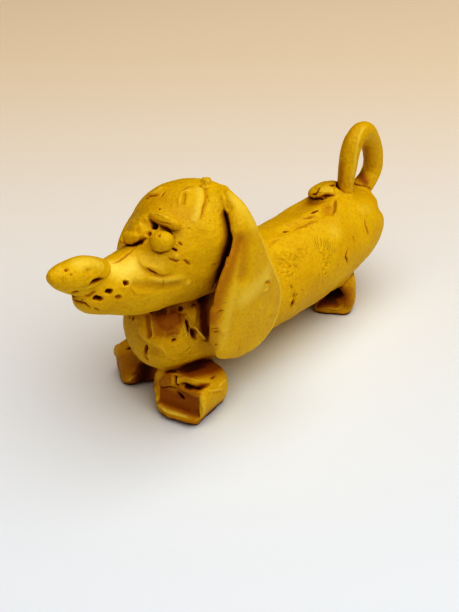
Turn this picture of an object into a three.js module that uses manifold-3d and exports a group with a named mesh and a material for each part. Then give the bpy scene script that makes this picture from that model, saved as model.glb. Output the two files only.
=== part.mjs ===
// A dachshund hand-modelled in mustard plasticine: rolled lumps pressed together.
// Millimetres, +Z up. The dog looks along -Y, its left side is +X and its feet stand on z = 0.
import * as THREE from "three";
import { mergeVertices } from "three/addons/utils/BufferGeometryUtils.js";
import Module from "manifold-3d";

const wasm = await Module();
wasm.setup();

// Driving dimensions
const BODY_RADIUS = 9;
const BODY_LENGTH = 61.4;
const BODY_HEIGHT = 15; // of the body's axis above the table, where it doesn't sag
const CHEST_Y = -30.6;
const RUMP_Y = CHEST_Y + BODY_LENGTH;
const HEAD_AT = [1, -20.7, 29.2]; // middle of the skull
const EAR_SHRINK = 0.84; // the right ear hangs shorter and a little lower
const EAR_DROP = 1.2;
const FOOT_MIDDLE = 3.8;
const FOOT_REACH = 4.9; // half height of a foot before its sole is cut flat
const TAIL_ROOT_RADIUS = 2.2;
const TAIL_TIP_RADIUS = 1.85;
const SEAM = 0.3; // the hairline between two lumps
const TABLE = { size: 200, thickness: 20 };

const UP = new THREE.Vector3(0, 0, 1);
const LEFTWARD = new THREE.Vector3(1, 0, 0);
const BACKWARD = new THREE.Vector3(0, 1, 0);
const CLAY = { color: 0xd9a40c, roughness: 0.62, metalness: 0 };

// 1 at the middle of a dent, 0 at its rim and beyond
function falloff(distance, radius) {
  const t = Math.min(distance / radius, 1);
  return 1 - t * t * (3 - 2 * t);
}

// A finger's dent: clay near `at` moves by `depth` along `toward`.
function press(at, radius, depth, toward) {
  const centre = new THREE.Vector3(...at);
  const way = new THREE.Vector3(...toward).normalize();
  return (p) => p.addScaledVector(way, depth * falloff(p.distanceTo(centre), radius));
}

// A dent drawn out along the line from `start` to `end`
function crease(start, end, radius, depth, toward) {
  const line = new THREE.Line3(new THREE.Vector3(...start), new THREE.Vector3(...end));
  const way = new THREE.Vector3(...toward).normalize();
  const nearest = new THREE.Vector3();
  return (p) => {
    line.closestPointToPoint(p, true, nearest);
    p.addScaledVector(way, depth * falloff(p.distanceTo(nearest), radius));
  };
}

// Clay pressed against a flat plane: what lies beyond the plane is pushed back to it.
function flatten(at, normal) {
  const centre = new THREE.Vector3(...at);
  const out = new THREE.Vector3(...normal).normalize();
  return (p) => {
    const beyond = p.clone().sub(centre).dot(out);
    if (beyond > 0) p.addScaledVector(out, -beyond);
  };
}

// A closed ball of radius 1 with one vertex at each pole
function unitBall(sides, rings) {
  const ball = new THREE.SphereGeometry(1, sides, rings);
  ball.deleteAttribute("normal");
  ball.deleteAttribute("uv");
  return mergeVertices(ball, 1e-4);
}

// Moves every vertex of a geometry by `move`
function reshape(geometry, move) {
  const place = geometry.getAttribute("position");
  for (let i = 0; i < place.count; i++) {
    const p = new THREE.Vector3().fromBufferAttribute(place, i);
    move(p, i);
    place.setXYZ(i, p.x, p.y, p.z);
  }
  return geometry;
}

// The point of the superellipse of power `n` in the direction (x, y)
function superellipse(x, y, n) {
  const size = Math.max((Math.abs(x) ** n + Math.abs(y) ** n) ** (1 / n), 1e-9);
  return [x / size, y / size];
}

// A lump rolled along a spine. A station is [x, y, z, half width, half height]. `blunt` is the
// superellipse power of the ends, `boxy` that of the cross-section, and 2 is round for both.
function lump({ stations, sides, rings, up = UP, blunt = 2, boxy = 2, shape = [] }) {
  const spine = new THREE.CatmullRomCurve3(stations.map(([x, y, z]) => new THREE.Vector3(x, y, z)));
  const halves = stations.map(([, , , width, height]) => new THREE.Vector3(width, height, 0));
  const sizes = new THREE.CatmullRomCurve3(halves, false, "catmullrom");
  return reshape(unitBall(sides, rings), (p) => {
    const [way, reach] = superellipse(p.y, Math.hypot(p.x, p.z), blunt);
    const [across, upward] = superellipse(p.x, p.z, boxy);
    const along = THREE.MathUtils.clamp((1 - way) / 2, 0, 1);
    const tangent = spine.getTangent(along);
    const side = new THREE.Vector3().crossVectors(up, tangent).normalize();
    const rise = new THREE.Vector3().crossVectors(tangent, side);
    const size = sizes.getPoint(along);
    p.copy(spine.getPoint(along))
      .addScaledVector(side, size.x * reach * across)
      .addScaledVector(rise, size.y * reach * upward);
    shape.forEach((move) => move(p));
  });
}

// A small ball pressed flat: `size` is its half length along `along`, half width and half thickness.
function pebble({ at, normal, along, size, sides = 12, rings = 9 }) {
  const out = new THREE.Vector3(...normal).normalize();
  const across = new THREE.Vector3().crossVectors(out, new THREE.Vector3(...along)).normalize();
  const way = new THREE.Vector3().crossVectors(across, out);
  return unitBall(sides, rings)
    .scale(...size)
    .applyMatrix4(new THREE.Matrix4().makeBasis(way, across, out))
    .translate(...at);
}

// The same surface moved out by `by` along its normals
function swollen(geometry, by) {
  const grown = geometry.clone();
  grown.computeVertexNormals();
  const normal = grown.getAttribute("normal");
  return reshape(grown, (p, i) => p.addScaledVector(new THREE.Vector3().fromBufferAttribute(normal, i), by));
}

function solidOf(geometry) {
  return new wasm.Manifold(
    new wasm.Mesh({
      numProp: 3,
      vertProperties: new Float32Array(geometry.getAttribute("position").array),
      triVerts: new Uint32Array(geometry.index.array),
    }),
  );
}

function geometryOf(solid) {
  const { vertProperties, triVerts } = solid.getMesh();
  return new THREE.BufferGeometry()
    .setAttribute("position", new THREE.BufferAttribute(vertProperties, 3))
    .setIndex(new THREE.BufferAttribute(triVerts, 1));
}

// Everything below the table top
function tableSolid() {
  const slab = new THREE.BoxGeometry(TABLE.size, TABLE.size, TABLE.thickness);
  slab.deleteAttribute("normal");
  slab.deleteAttribute("uv");
  return solidOf(mergeVertices(slab.translate(0, 0, -TABLE.thickness / 2)));
}

// `geometry` with its sole cut flat and a bed cut for each neighbour, a hairline larger than the neighbour
function bedded(geometry, ...neighbours) {
  const standing = solidOf(geometry).subtract(tableSolid());
  const cut = neighbours.reduce((left, n) => left.subtract(solidOf(swollen(n, SEAM))), standing);
  const [biggest] = cut.decompose().sort((a, b) => b.volume() - a.volume());
  return geometryOf(biggest);
}

// From the head's own frame, centred in the skull, to the dog's frame
function onHead(geometry) {
  return geometry.translate(...HEAD_AT);
}

// One thick roll, sagging in the middle of the back, with clay drawn up round the root of the tail
function bodyShape() {
  const z = BODY_HEIGHT;
  const r = BODY_RADIUS;
  return lump({
    stations: [
      [0.3, RUMP_Y, z - 0.7, r, r],
      [0.5, RUMP_Y - 0.2 * BODY_LENGTH, z - 0.6, r, r],
      [0.6, RUMP_Y - 0.4 * BODY_LENGTH, z - 1.9, r - 0.1, r],
      [0.3, RUMP_Y - 0.6 * BODY_LENGTH, z - 2, r - 0.1, r - 0.1],
      [0, RUMP_Y - 0.8 * BODY_LENGTH, z - 0.8, r, r],
      [0, CHEST_Y, z - 0.5, r - 0.4, r - 0.2],
    ],
    sides: 30,
    rings: 30,
    blunt: 4,
    shape: [press([0.5, 29.5, 20], 5.5, 1.2, [0, 0.4, 1])],
  });
}

// Round skull drawn out into the snout
function headShape() {
  return onHead(
    lump({
      stations: [
        [0, 9.7, 0, 9.6, 9.6],
        [0, 4.7, 0.1, 9.8, 9.7],
        [0, -0.3, 0, 9.7, 9.6],
        [0, -5.4, -1, 7.8, 8.6],
        [0, -10.5, -2.3, 5.5, 6.2],
        [0, -16, -1.7, 4.4, 4.8],
        [0, -21.9, -1.2, 3.6, 3.7],
      ],
      sides: 30,
      rings: 28,
      blunt: 3,
      shape: [press([-4, -8, 4], 7, 1.3, [0.6, 0.4, -0.7])],
    }),
  );
}

function noseShape() {
  return onHead(
    lump({
      stations: [
        [0, -16, 2.2, 2.4, 1.9],
        [0, -21, 2.7, 2.8, 2.9],
        [0, -26.2, 4.6, 1.8, 1.7],
      ],
      sides: 14,
      rings: 12,
      blunt: 2.6,
    }),
  );
}

// A flat drop that starts near the top of the skull. `side` is 1 for the left ear and -1 for the right.
function earShape(side) {
  const drop = side > 0 ? 0 : EAR_DROP;
  const shrink = side > 0 ? 1 : EAR_SHRINK;
  return onHead(
    lump({
      stations: [
        [5.2, 3.1, 9, 2.2, 1.6],
        [9.2, 3.1, 5.8, 2.4, 1.6],
        [10.9, 2.3, 1.3, 4.2, 1.4],
        [11.1, 1.6, -3.9, 6.8, 1.3],
        [10.8, 2.5, -9.4, 8.2, 1.3],
        [10.4, 4.1, -14.7, 8.8, 1.3],
        [10, 4.6, -18.9, 6.5, 1.2],
      ].map(([x, y, z, width, thickness]) => [x * side, y, z * shrink - drop, width, thickness]),
      up: LEFTWARD.clone().multiplyScalar(side),
      sides: 18,
      rings: 22,
      blunt: 3,
    }),
  );
}

// A foot is a block in its own frame, toe along -Y. `turn` in degrees swings the toe to the left.
function footShape({ at: [x, y], turn, width, depth, sides = 20, rings = 12, shape = [] }) {
  const station = (end) => [0, 0, FOOT_MIDDLE + end * FOOT_REACH, width / 2, depth / 2];
  return lump({ stations: [-1, 0, 1].map(station), sides, rings, up: BACKWARD, blunt: 4, boxy: 4, shape })
    .rotateZ(THREE.MathUtils.degToRad(turn))
    .translate(x, y, 0);
}

function frontLeftFoot() {
  return footShape({
    at: [5.3, -24.5],
    turn: 8,
    width: 11.2,
    depth: 9.6,
    sides: 32,
    rings: 16,
    shape: [
      flatten([0, -4.5, 2.5], [0, -1, 0.12]),
      flatten([5.5, 0, 4], [1, 0, -0.4]),
      press([-2, -4.7, 0], 4.5, 0.9, [-0.3, -1, 0]),
      crease([-1, -4.6, 5.4], [4, -4.6, 5.2], 1.8, 0.9, BACKWARD),
    ],
  });
}

function frontRightFoot() {
  return footShape({
    at: [-7.8, -24.1],
    turn: -30,
    width: 8,
    depth: 9,
    shape: [flatten([-3.4, -3.8, 3.8], [-0.7, -0.3, 0.7]), press([0, -4.6, 3], 3, 0.8, BACKWARD)],
  });
}

function rearLeftFoot() {
  return footShape({
    at: [4.5, 17.4],
    turn: 35,
    width: 7.4,
    depth: 7,
    sides: 16,
    rings: 10,
    shape: [press([0, -4, 2.8], 3.4, 1.2, BACKWARD), press([-3.6, -3.4, 0.5], 3.6, 1.8, [-1, 0, 0])],
  });
}

function rearRightFoot() {
  return footShape({
    at: [-4.6, 17.6],
    turn: -30,
    width: 7.2,
    depth: 7.6,
    sides: 16,
    rings: 10,
    shape: [press([0, -4, 3], 3.2, 0.7, BACKWARD)],
  });
}

// A thin roll laid on the rump that rises, curls forward and comes down on the back
function tailShape() {
  const spine = [
    [0.2, 27.2, 21],
    [0.1, 29.6, 21.3],
    [0, 31.9, 22.3],
    [0, 33, 24.4],
    [0, 32.8, 26.8],
    [0, 31.9, 29.2],
    [0.1, 30.6, 31.4],
    [0.3, 28.5, 33.2],
    [0.6, 26, 33.5],
    [0.8, 23.7, 31.6],
    [1, 22.8, 28.6],
    [1.1, 22.4, 25.5],
    [1.2, 22.4, 22],
  ];
  const stations = spine.map((point, i) => {
    const radius = THREE.MathUtils.lerp(TAIL_ROOT_RADIUS, TAIL_TIP_RADIUS, i / (spine.length - 1));
    return [...point, radius, radius];
  });
  return lump({ stations, up: LEFTWARD, sides: 10, rings: 40, blunt: 6 });
}

function leftEye() {
  return onHead(pebble({ at: [4.4, -8.9, 5], normal: [0.64, -0.54, 0.54], along: [0.6, 0.8, 0], size: [1.9, 1.5, 1.5] }));
}

function rightEye() {
  return onHead(
    pebble({ at: [-0.3, -10.2, 4.9], normal: [-0.25, -0.6, 0.75], along: [-0.75, -0.35, -0.55], size: [2.2, 1.5, 1.3] }),
  );
}

function leftBrow() {
  return onHead(pebble({ at: [3, -7, 7.3], normal: [0.3, -0.5, 0.8], along: [0.87, 0.3, -0.25], size: [2.7, 0.9, 1] }));
}

function rightBrow() {
  return onHead(
    pebble({ at: [-0.9, -8.6, 6.3], normal: [-0.2, -0.6, 0.8], along: [-0.8, -0.2, -0.5], size: [1.9, 0.9, 0.9] }),
  );
}

// A flake pressed on the back under the tip of the tail
function backScrap() {
  return pebble({ at: [-1.6, 20.2, 22.8], normal: [-0.15, 0, 1], along: [0.2, 1, 0], size: [4.1, 3.2, 1.7] });
}

const shapes = {
  body: bodyShape(),
  head: headShape(),
  nose: noseShape(),
  left_ear: earShape(1),
  right_ear: earShape(-1),
  front_left_foot: frontLeftFoot(),
  front_right_foot: frontRightFoot(),
  rear_left_foot: rearLeftFoot(),
  rear_right_foot: rearRightFoot(),
  tail: tailShape(),
  left_eye: leftEye(),
  right_eye: rightEye(),
  left_brow: leftBrow(),
  right_brow: rightBrow(),
  back_scrap: backScrap(),
};

// Each lump is bedded on the ones it was pressed onto.
const beds = {
  body: [],
  head: ["body"],
  nose: ["head"],
  left_ear: ["head", "body"],
  right_ear: ["head", "body"],
  front_left_foot: ["body"],
  front_right_foot: ["body"],
  rear_left_foot: ["body"],
  rear_right_foot: ["body"],
  tail: ["body"],
  left_eye: ["head"],
  right_eye: ["head"],
  left_brow: ["head", "left_eye"],
  right_brow: ["head", "right_eye", "left_brow"],
  back_scrap: ["body", "tail"],
};

const dog = new THREE.Group();
for (const [name, shape] of Object.entries(shapes)) {
  const geometry = bedded(shape, ...beds[name].map((neighbour) => shapes[neighbour]));
  const mesh = new THREE.Mesh(geometry, new THREE.MeshStandardMaterial(CLAY));
  mesh.name = name;
  dog.add(mesh);
}

// The origin is under the middle of the dog's box.
const box = new THREE.Box3().setFromObject(dog);
const middle = box.getCenter(new THREE.Vector3());
dog.children.forEach((mesh) => mesh.geometry.translate(-middle.x, -middle.y, -box.min.z));

export default dog;
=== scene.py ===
"""A dachshund modelled by hand in mustard plasticine: lumps of clay, their marks, light and camera."""
import itertools
import logging
import math
from dataclasses import dataclass, field
from enum import Enum
from typing import ClassVar, Iterable, Iterator, Optional, Sequence, Union

import bmesh
import bpy
import numpy as np
from mathutils import Matrix, Vector
from mathutils.bvhtree import BVHTree


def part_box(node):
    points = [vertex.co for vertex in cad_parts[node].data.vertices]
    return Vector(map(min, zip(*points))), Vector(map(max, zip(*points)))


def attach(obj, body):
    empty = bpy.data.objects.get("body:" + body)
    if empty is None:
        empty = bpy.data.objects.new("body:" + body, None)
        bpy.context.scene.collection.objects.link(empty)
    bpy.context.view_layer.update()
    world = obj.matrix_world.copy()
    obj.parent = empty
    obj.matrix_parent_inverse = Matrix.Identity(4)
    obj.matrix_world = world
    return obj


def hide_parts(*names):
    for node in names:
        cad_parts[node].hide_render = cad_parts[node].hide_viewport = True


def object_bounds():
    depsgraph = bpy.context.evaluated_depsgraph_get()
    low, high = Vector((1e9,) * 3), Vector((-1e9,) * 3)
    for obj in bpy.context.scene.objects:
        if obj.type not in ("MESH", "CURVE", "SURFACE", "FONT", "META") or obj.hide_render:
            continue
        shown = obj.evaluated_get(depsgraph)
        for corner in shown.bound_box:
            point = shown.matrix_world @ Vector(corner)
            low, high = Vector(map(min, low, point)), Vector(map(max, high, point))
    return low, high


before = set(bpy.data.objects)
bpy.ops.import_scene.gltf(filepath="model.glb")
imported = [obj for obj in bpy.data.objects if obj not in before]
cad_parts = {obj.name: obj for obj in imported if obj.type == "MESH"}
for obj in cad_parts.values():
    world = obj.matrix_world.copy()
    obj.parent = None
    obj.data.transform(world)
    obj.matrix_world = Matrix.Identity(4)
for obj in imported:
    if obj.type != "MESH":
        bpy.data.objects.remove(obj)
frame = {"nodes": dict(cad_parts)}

CAD_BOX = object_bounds()

log = logging.getLogger("plasticine dog")

MM = 0.001
TINY = 1e-6
Point = tuple[float, float, float]
Colour = tuple[float, float, float, float]

# How far the head's own frame lies before the back of the skull and above the table, and its place in the
# dog's frame.
HEAD_BACK = 9.7
HEAD_RISE = 29.2
HEAD_FROM_DOG = (1.0, -20.7)


def box_of(node: str) -> tuple[np.ndarray, np.ndarray]:
    """Gives the lowest and highest corners of a solid.

    Args:
        node: Name of the solid.

    Returns:
        Both corners in millimetres.
    """
    low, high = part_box(node)
    return np.array(low) / MM, np.array(high) / MM


def head_origin() -> np.ndarray:
    """Gives the place of the head's own frame, in millimetres.

    Returns:
        The place on the part.
    """
    nose_low, nose_high = box_of("nose")
    _, head_high = box_of("head")
    return np.array([(nose_low[0] + nose_high[0]) / 2, head_high[1] - HEAD_BACK, HEAD_RISE])


def dog_origin() -> np.ndarray:
    """Gives the place of the dog's own frame, on the table below the body, in millimetres."""
    x, y, _ = head_origin()
    return np.array([x - HEAD_FROM_DOG[0], y - HEAD_FROM_DOG[1], 0.0])


class Frame(Enum):
    """Which frame the marks on a lump are measured in."""

    HEAD = "head"
    DOG = "dog"

    def origin(self) -> np.ndarray:
        """Gives the frame's place on the part, in millimetres."""
        return head_origin() if self is Frame.HEAD else dog_origin()


def smooth(value: np.ndarray) -> np.ndarray:
    """Eases a value from 0 to 1."""
    held = np.clip(value, 0.0, 1.0)
    return held * held * (3.0 - 2.0 * held)


def mound(ratio: np.ndarray) -> np.ndarray:
    """Falls from 1 at 0 to nothing at 1, level at both ends."""
    return np.clip(1.0 - ratio * ratio, 0.0, 1.0) ** 2


# Large primes that scatter the cells of space over the noise's table, the table's length, the size of a
# mark's wandering in millimetres, and how many seeds the names of the marks share.
HASH = np.array([73856093, 19349663, 83492791], dtype=np.int64)
NOISE_CELLS = 8192
WANDER_SIZE = 0.9
SEEDS = 9973


def corners(cell: np.ndarray, part: np.ndarray) -> Iterator[tuple[np.ndarray, np.ndarray]]:
    """Goes through the eight corners of the cells that some places lie in.

    Args:
        cell: The lowest corner of each place's cell.
        part: How far across its cell each place lies, from 0 to 1.

    Yields:
        One corner of each cell, and the share that it has in the place.
    """
    for corner in itertools.product((0, 1), repeat=3):
        step = np.array(corner)
        yield cell + step, np.prod(np.where(step == 1, part, 1.0 - part), axis=1)


def noise(points: np.ndarray, size: float, seed: int) -> np.ndarray:
    """Makes smooth noise in space.

    Args:
        points: Places in millimetres.
        size: Size of one swell in millimetres.
        seed: Which noise.

    Returns:
        A value from -1 to 1 for each place.
    """
    table = np.random.default_rng(seed).uniform(-1.0, 1.0, NOISE_CELLS)
    turn = np.linalg.qr(np.random.default_rng(seed + 1).normal(size=(3, 3)))[0]
    grid = points @ turn / size
    cell = np.floor(grid).astype(np.int64)
    part = grid - cell
    part = part * part * part * (part * (part * 6.0 - 15.0) + 10.0)
    total = np.zeros(len(points))
    for corner, share in corners(cell, part):
        mixed = corner * HASH
        index = (mixed[:, 0] ^ mixed[:, 1] ^ mixed[:, 2]) % NOISE_CELLS
        total += table[index] * share
    return total


def rounded(points: Sequence[Point], steps: int = 6) -> np.ndarray:
    """Rounds a route through a few places.

    Args:
        points: The places, in millimetres.
        steps: Points on each stretch.

    Returns:
        The points of the rounded route.
    """
    given = np.array(points, dtype=float)
    if len(given) == 1:
        return given
    ends = np.vstack([2 * given[0] - given[1], given, 2 * given[-1] - given[-2]])
    found = []
    for k in range(len(given) - 1):
        a, b, c, d = ends[k : k + 4]
        for t in np.arange(steps) / steps:
            bend = (2 * a - 5 * b + 4 * c - d) * t**2 + (3 * b - a - 3 * c + d) * t**3
            found.append(0.5 * (2 * b + (c - a) * t + bend))
    found.append(given[-1])
    return np.array(found)


@dataclass
class Near:
    """The points of a lump that lie near a mark, measured from it."""

    index: np.ndarray
    across: np.ndarray
    side: np.ndarray
    along: np.ndarray
    place: np.ndarray
    facing: np.ndarray


@dataclass
class Clay:
    """The surface of a lump of clay, in millimetres in the frame that its marks are measured in."""

    place: np.ndarray
    facing: np.ndarray
    move: np.ndarray
    # Darker colour: dark clay in cracks and holes, and painted shade in hollows, folds and under overhangs.
    stain_and_shade: np.ndarray
    # Lighter colour: pale smears of clay, and painted highlights on raised edges and lit tops.
    pale: np.ndarray
    prints: np.ndarray
    ridges: np.ndarray

    def near(self, route: np.ndarray, reach: float, wander: float, seed: int) -> Optional[Near]:
        """Finds the points near a route and measures them from it.

        Args:
            route: Points of the route.
            reach: How far from the route the points may lie.
            wander: How far the route's edge strays from its line.
            seed: Which wandering.

        Returns:
            The points found, or None where the route misses the lump.
        """
        low, high = route.min(axis=0) - reach, route.max(axis=0) + reach
        index = np.nonzero(np.all((self.place > low) & (self.place < high), axis=1))[0]
        if not len(index):
            return None
        place, facing = self.place[index], self.facing[index]
        if wander:
            stray = [noise(place, WANDER_SIZE, seed + axis) for axis in range(3)]
            place = place + wander * np.stack(stray, axis=1)
        best = np.full(len(index), np.inf)
        offset = np.zeros((len(index), 3))
        side = np.zeros(len(index))
        along = np.zeros(len(index))
        lengths = np.linalg.norm(np.diff(route, axis=0), axis=1)
        total = max(lengths.sum(), TINY)
        starts = np.concatenate([[0.0], np.cumsum(lengths)])
        pairs = list(zip(route[:-1], route[1:])) if len(route) > 1 else [(route[0], route[0])]
        for k, (start, end) in enumerate(pairs):
            way = end - start
            span = max(way @ way, TINY)
            part = np.clip((place - start) @ way / span, 0.0, 1.0)
            gap = place - start - part[:, None] * way
            squared = (gap * gap).sum(axis=1)
            won = squared < best
            best = np.where(won, squared, best)
            offset = np.where(won[:, None], gap, offset)
            turned = (np.cross(np.broadcast_to(way, facing.shape), facing) * gap).sum(axis=1)
            side = np.where(won, np.sign(turned), side)
            along = np.where(won, (starts[k] + part * math.sqrt(span)) / total, along)
        height = (offset * facing).sum(axis=1)
        across = np.sqrt(np.maximum(best - height**2, 0.0))
        kept = (across < reach) & (np.abs(height) < reach)
        if not kept.any():
            return None
        return Near(index[kept], across[kept], side[kept], along[kept], place[kept], facing[kept])

    def press(self, near: Near, depth: np.ndarray) -> None:
        """Pushes points in along the surface's own direction, by a depth in millimetres."""
        self.move[near.index] -= near.facing * depth[:, None]

    def settle(self) -> None:
        """Moves the points to where they were pushed."""
        self.place += self.move
        self.move[:] = 0.0


def seed_of(name: str) -> int:
    """Gives a steady number for a name."""
    return sum((k + 1) * ord(letter) for k, letter in enumerate(name)) % SEEDS


@dataclass(frozen=True)
class Mark:
    """A place where the clay was pressed, lifted or cut. Sizes are in millimetres.

    Each kind of mark has its own form: how many widths away it is felt, by what share its width wavers and
    over what size, and where its lip stands and how wide that is, in widths.
    """

    name: str
    route: Sequence[Point]
    wide: float = field(default=1.0, kw_only=True)
    # Darker colour: dark clay in cracks and holes, and painted shade in hollows, folds and under overhangs.
    stain_and_shade: float = field(default=0.0, kw_only=True)
    # Lighter colour: pale smears of clay, and painted highlights on raised edges and lit tops.
    pale: float = field(default=0.0, kw_only=True)
    wander: float = field(default=0.12, kw_only=True)
    felt: ClassVar[float] = 1.15
    waver: ClassVar[float] = 0.2
    waver_size: ClassVar[float] = 1.3
    lip_at: ClassVar[float] = 1.35
    lip_wide: ClassVar[float] = 0.55

    def depth(self, near: Near) -> tuple[np.ndarray, np.ndarray]:
        """Gives how deep the points go, and how strongly the mark's colour shows there.

        Args:
            near: The points near the mark.

        Returns:
            A depth in millimetres and a strength from 0 to 1 for each point.
        """
        raise NotImplementedError

    def find(self, clay: Clay) -> Optional[Near]:
        """Finds the points that the mark touches.

        Args:
            clay: The lump's surface.

        Returns:
            The points, or None where the mark misses its lump.
        """
        near = clay.near(rounded(self.route), self.wide * self.felt, self.wander, seed_of(self.name))
        if near is None:
            log.warning("the mark %s misses its lump", self.name)
        return near

    def uneven(self, near: Near) -> np.ndarray:
        """Gives a factor round 1 by which the mark is wider or narrower at each point."""
        return 1.0 + self.waver * noise(near.place, self.waver_size, seed_of(self.name) + 7)

    def rim(self, near: Near, half: np.ndarray) -> np.ndarray:
        """Gives how far each point lies on the lip beside a cut of the given half width, from 0 to 1."""
        return np.exp(-(((near.across - self.lip_at * half) / (self.lip_wide * half)) ** 2))

    def apply(self, clay: Clay) -> None:
        """Presses the mark into a lump.

        Args:
            clay: The lump's surface.
        """
        near = self.find(clay)
        if near is None:
            return
        depth, colour = self.depth(near)
        clay.press(near, depth)
        # Dark clay and painted shade, then pale smears and painted highlights.
        clay.stain_and_shade[near.index] = np.maximum(clay.stain_and_shade[near.index], self.stain_and_shade * colour)
        clay.pale[near.index] = np.maximum(clay.pale[near.index], self.pale * colour)


def taper(along: np.ndarray, ends: float) -> np.ndarray:
    """Thins a mark towards its two ends.

    Args:
        along: Place along the route, from 0 to 1.
        ends: Share of the route that each end takes.

    Returns:
        A factor from 0 at the ends to 1.
    """
    if ends <= 0:
        return np.ones(len(along))
    return np.sqrt(np.clip(np.minimum(along, 1.0 - along) / ends, 0.0, 1.0))


@dataclass(frozen=True)
class Groove(Mark):
    """A crease, crack or scratch, with a lip of displaced clay along both sides."""

    wide: float = 0.5
    deep: float = 0.4
    lip: float = 0.0
    ends: float = 0.3
    felt: ClassVar[float] = 2.6
    waver: ClassVar[float] = 0.25
    waver_size: ClassVar[float] = 1.1
    thinnest: ClassVar[float] = 0.25

    def depth(self, near: Near) -> tuple[np.ndarray, np.ndarray]:
        """Gives the groove's depth and the strength of its colour.

        Args:
            near: The points near the mark.

        Returns:
            A depth in millimetres and a strength from 0 to 1 for each point.
        """
        thin = taper(near.along, self.ends)
        half = self.wide * np.maximum(thin, self.thinnest) * self.uneven(near)
        cut = mound(near.across / half)
        return thin * (self.deep * cut - self.lip * self.rim(near, half)), cut * thin


@dataclass(frozen=True)
class Ridge(Mark):
    """A raised string or fold of clay."""

    wide: float = 0.6
    high: float = 0.3
    ends: float = 0.3
    felt: ClassVar[float] = 1.3

    def depth(self, near: Near) -> tuple[np.ndarray, np.ndarray]:
        """Gives the ridge's height as a depth below zero, and the strength of its colour.

        Args:
            near: The points near the mark.

        Returns:
            A depth in millimetres and a strength from 0 to 1 for each point.
        """
        thin = taper(near.along, self.ends)
        rise = mound(near.across / (self.wide * self.uneven(near)))
        return -self.high * thin * rise, rise * thin


@dataclass(frozen=True)
class Flap(Mark):
    """The edge of a layer of clay over its neighbour, raised on the right of its route and fading there."""

    wide: float = 2.5
    high: float = 0.4
    edge: float = 0.3
    under: float = 0.25
    ends: float = 0.2
    felt: ClassVar[float] = 2.2
    fades_at: ClassVar[float] = 2.0
    crease_wide: ClassVar[float] = 1.6

    def depth(self, near: Near) -> tuple[np.ndarray, np.ndarray]:
        """Gives the layer's step as a depth, and the strength of the colour under its edge.

        Args:
            near: The points near the mark.

        Returns:
            A depth in millimetres and a strength from 0 to 1 for each point.
        """
        thin = taper(near.along, self.ends)
        signed = near.across * near.side
        step = smooth(signed / self.edge)
        rise = step * mound(np.maximum(signed, 0.0) / (self.wide * self.fades_at))
        below = np.exp(-((signed / (self.edge * self.crease_wide)) ** 2))
        crease = np.where(signed >= 0.0, 1.0 - step, below)
        return thin * (self.under * crease - self.high * rise), crease * thin


@dataclass(frozen=True)
class Dent(Mark):
    """A soft hollow, or a swelling where its depth is below zero, along a route or round one place."""

    wide: float = 2.0
    deep: float = 0.3
    level: float = 1.0

    def depth(self, near: Near) -> tuple[np.ndarray, np.ndarray]:
        """Gives the hollow's depth and the strength of its colour."""
        fall = np.minimum(mound(near.across / self.wide) * self.level, 1.0)
        return self.deep * fall, fall


@dataclass(frozen=True)
class Pit(Mark):
    """A small steep hole poked into the clay."""

    wide: float = 0.4
    deep: float = 0.5
    lip: float = 0.06
    felt: ClassVar[float] = 2.4
    waver_size: ClassVar[float] = 0.5
    lip_at: ClassVar[float] = 1.3
    lip_wide: ClassVar[float] = 0.4
    steep: ClassVar[float] = 1.6

    def depth(self, near: Near) -> tuple[np.ndarray, np.ndarray]:
        """Gives the hole's depth and the strength of its colour.

        Args:
            near: The points near the mark.

        Returns:
            A depth in millimetres and a strength from 0 to 1 for each point.
        """
        half = self.wide * self.uneven(near)
        hollow = smooth(self.steep * (1.0 - near.across / half))
        return self.deep * hollow - self.lip * self.rim(near, half), hollow


@dataclass(frozen=True)
class Facet(Mark):
    """A flat place pressed by a fingertip or the table: clay above a plane is pushed down to it."""

    facing: Point = (0.0, 0.0, 1.0)
    wide: float = 4.0
    blend: float = 0.3
    most: float = 1.0
    soft: float = 0.35
    least_facing: ClassVar[float] = 0.2
    shade_start: ClassVar[float] = 1.6
    shade_soft: ClassVar[float] = 0.8

    def apply(self, clay: Clay) -> None:
        """Pushes the clay that stands above the plane down to it.

        Args:
            clay: The lump's surface.
        """
        start, end = np.array(self.route[0]), np.array(self.route[-1])
        normal = np.array(self.facing) / np.linalg.norm(self.facing)
        height = (clay.place - start) @ normal
        aside = self.aside(clay.place, start, end, normal)
        looks = clay.facing @ normal > self.least_facing
        over = np.logaddexp(0.0, height / self.blend) * self.blend
        share = smooth((self.wide - aside) / (self.soft * self.wide)) * looks
        clay.move -= normal * (np.minimum(over, self.most) * share)[:, None]
        # Painted shade over the pressed plane, fading out below it.
        level = smooth(self.shade_start + height / self.shade_soft)
        clay.stain_and_shade = np.maximum(clay.stain_and_shade, self.stain_and_shade * share * level)

    @staticmethod
    def aside(place: np.ndarray, start: np.ndarray, end: np.ndarray, normal: np.ndarray) -> np.ndarray:
        """Measures in the plane how far points lie from its middle: round a place, or square round a line.

        Args:
            place: The points.
            start: The place, or the start of the line.
            end: The same place, or the end of the line.
            normal: The plane's direction.

        Returns:
            A distance in millimetres for each point.
        """
        gap = place - (start + end) / 2
        gap -= (gap @ normal)[:, None] * normal
        half = np.linalg.norm(end - start) / 2
        if half == 0.0:
            return np.linalg.norm(gap, axis=1)
        way = (end - start) / (2 * half)
        beyond = np.maximum(np.abs(gap @ way) - half, 0.0)
        return np.maximum(beyond, np.abs(gap @ np.cross(normal, way)))


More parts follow.
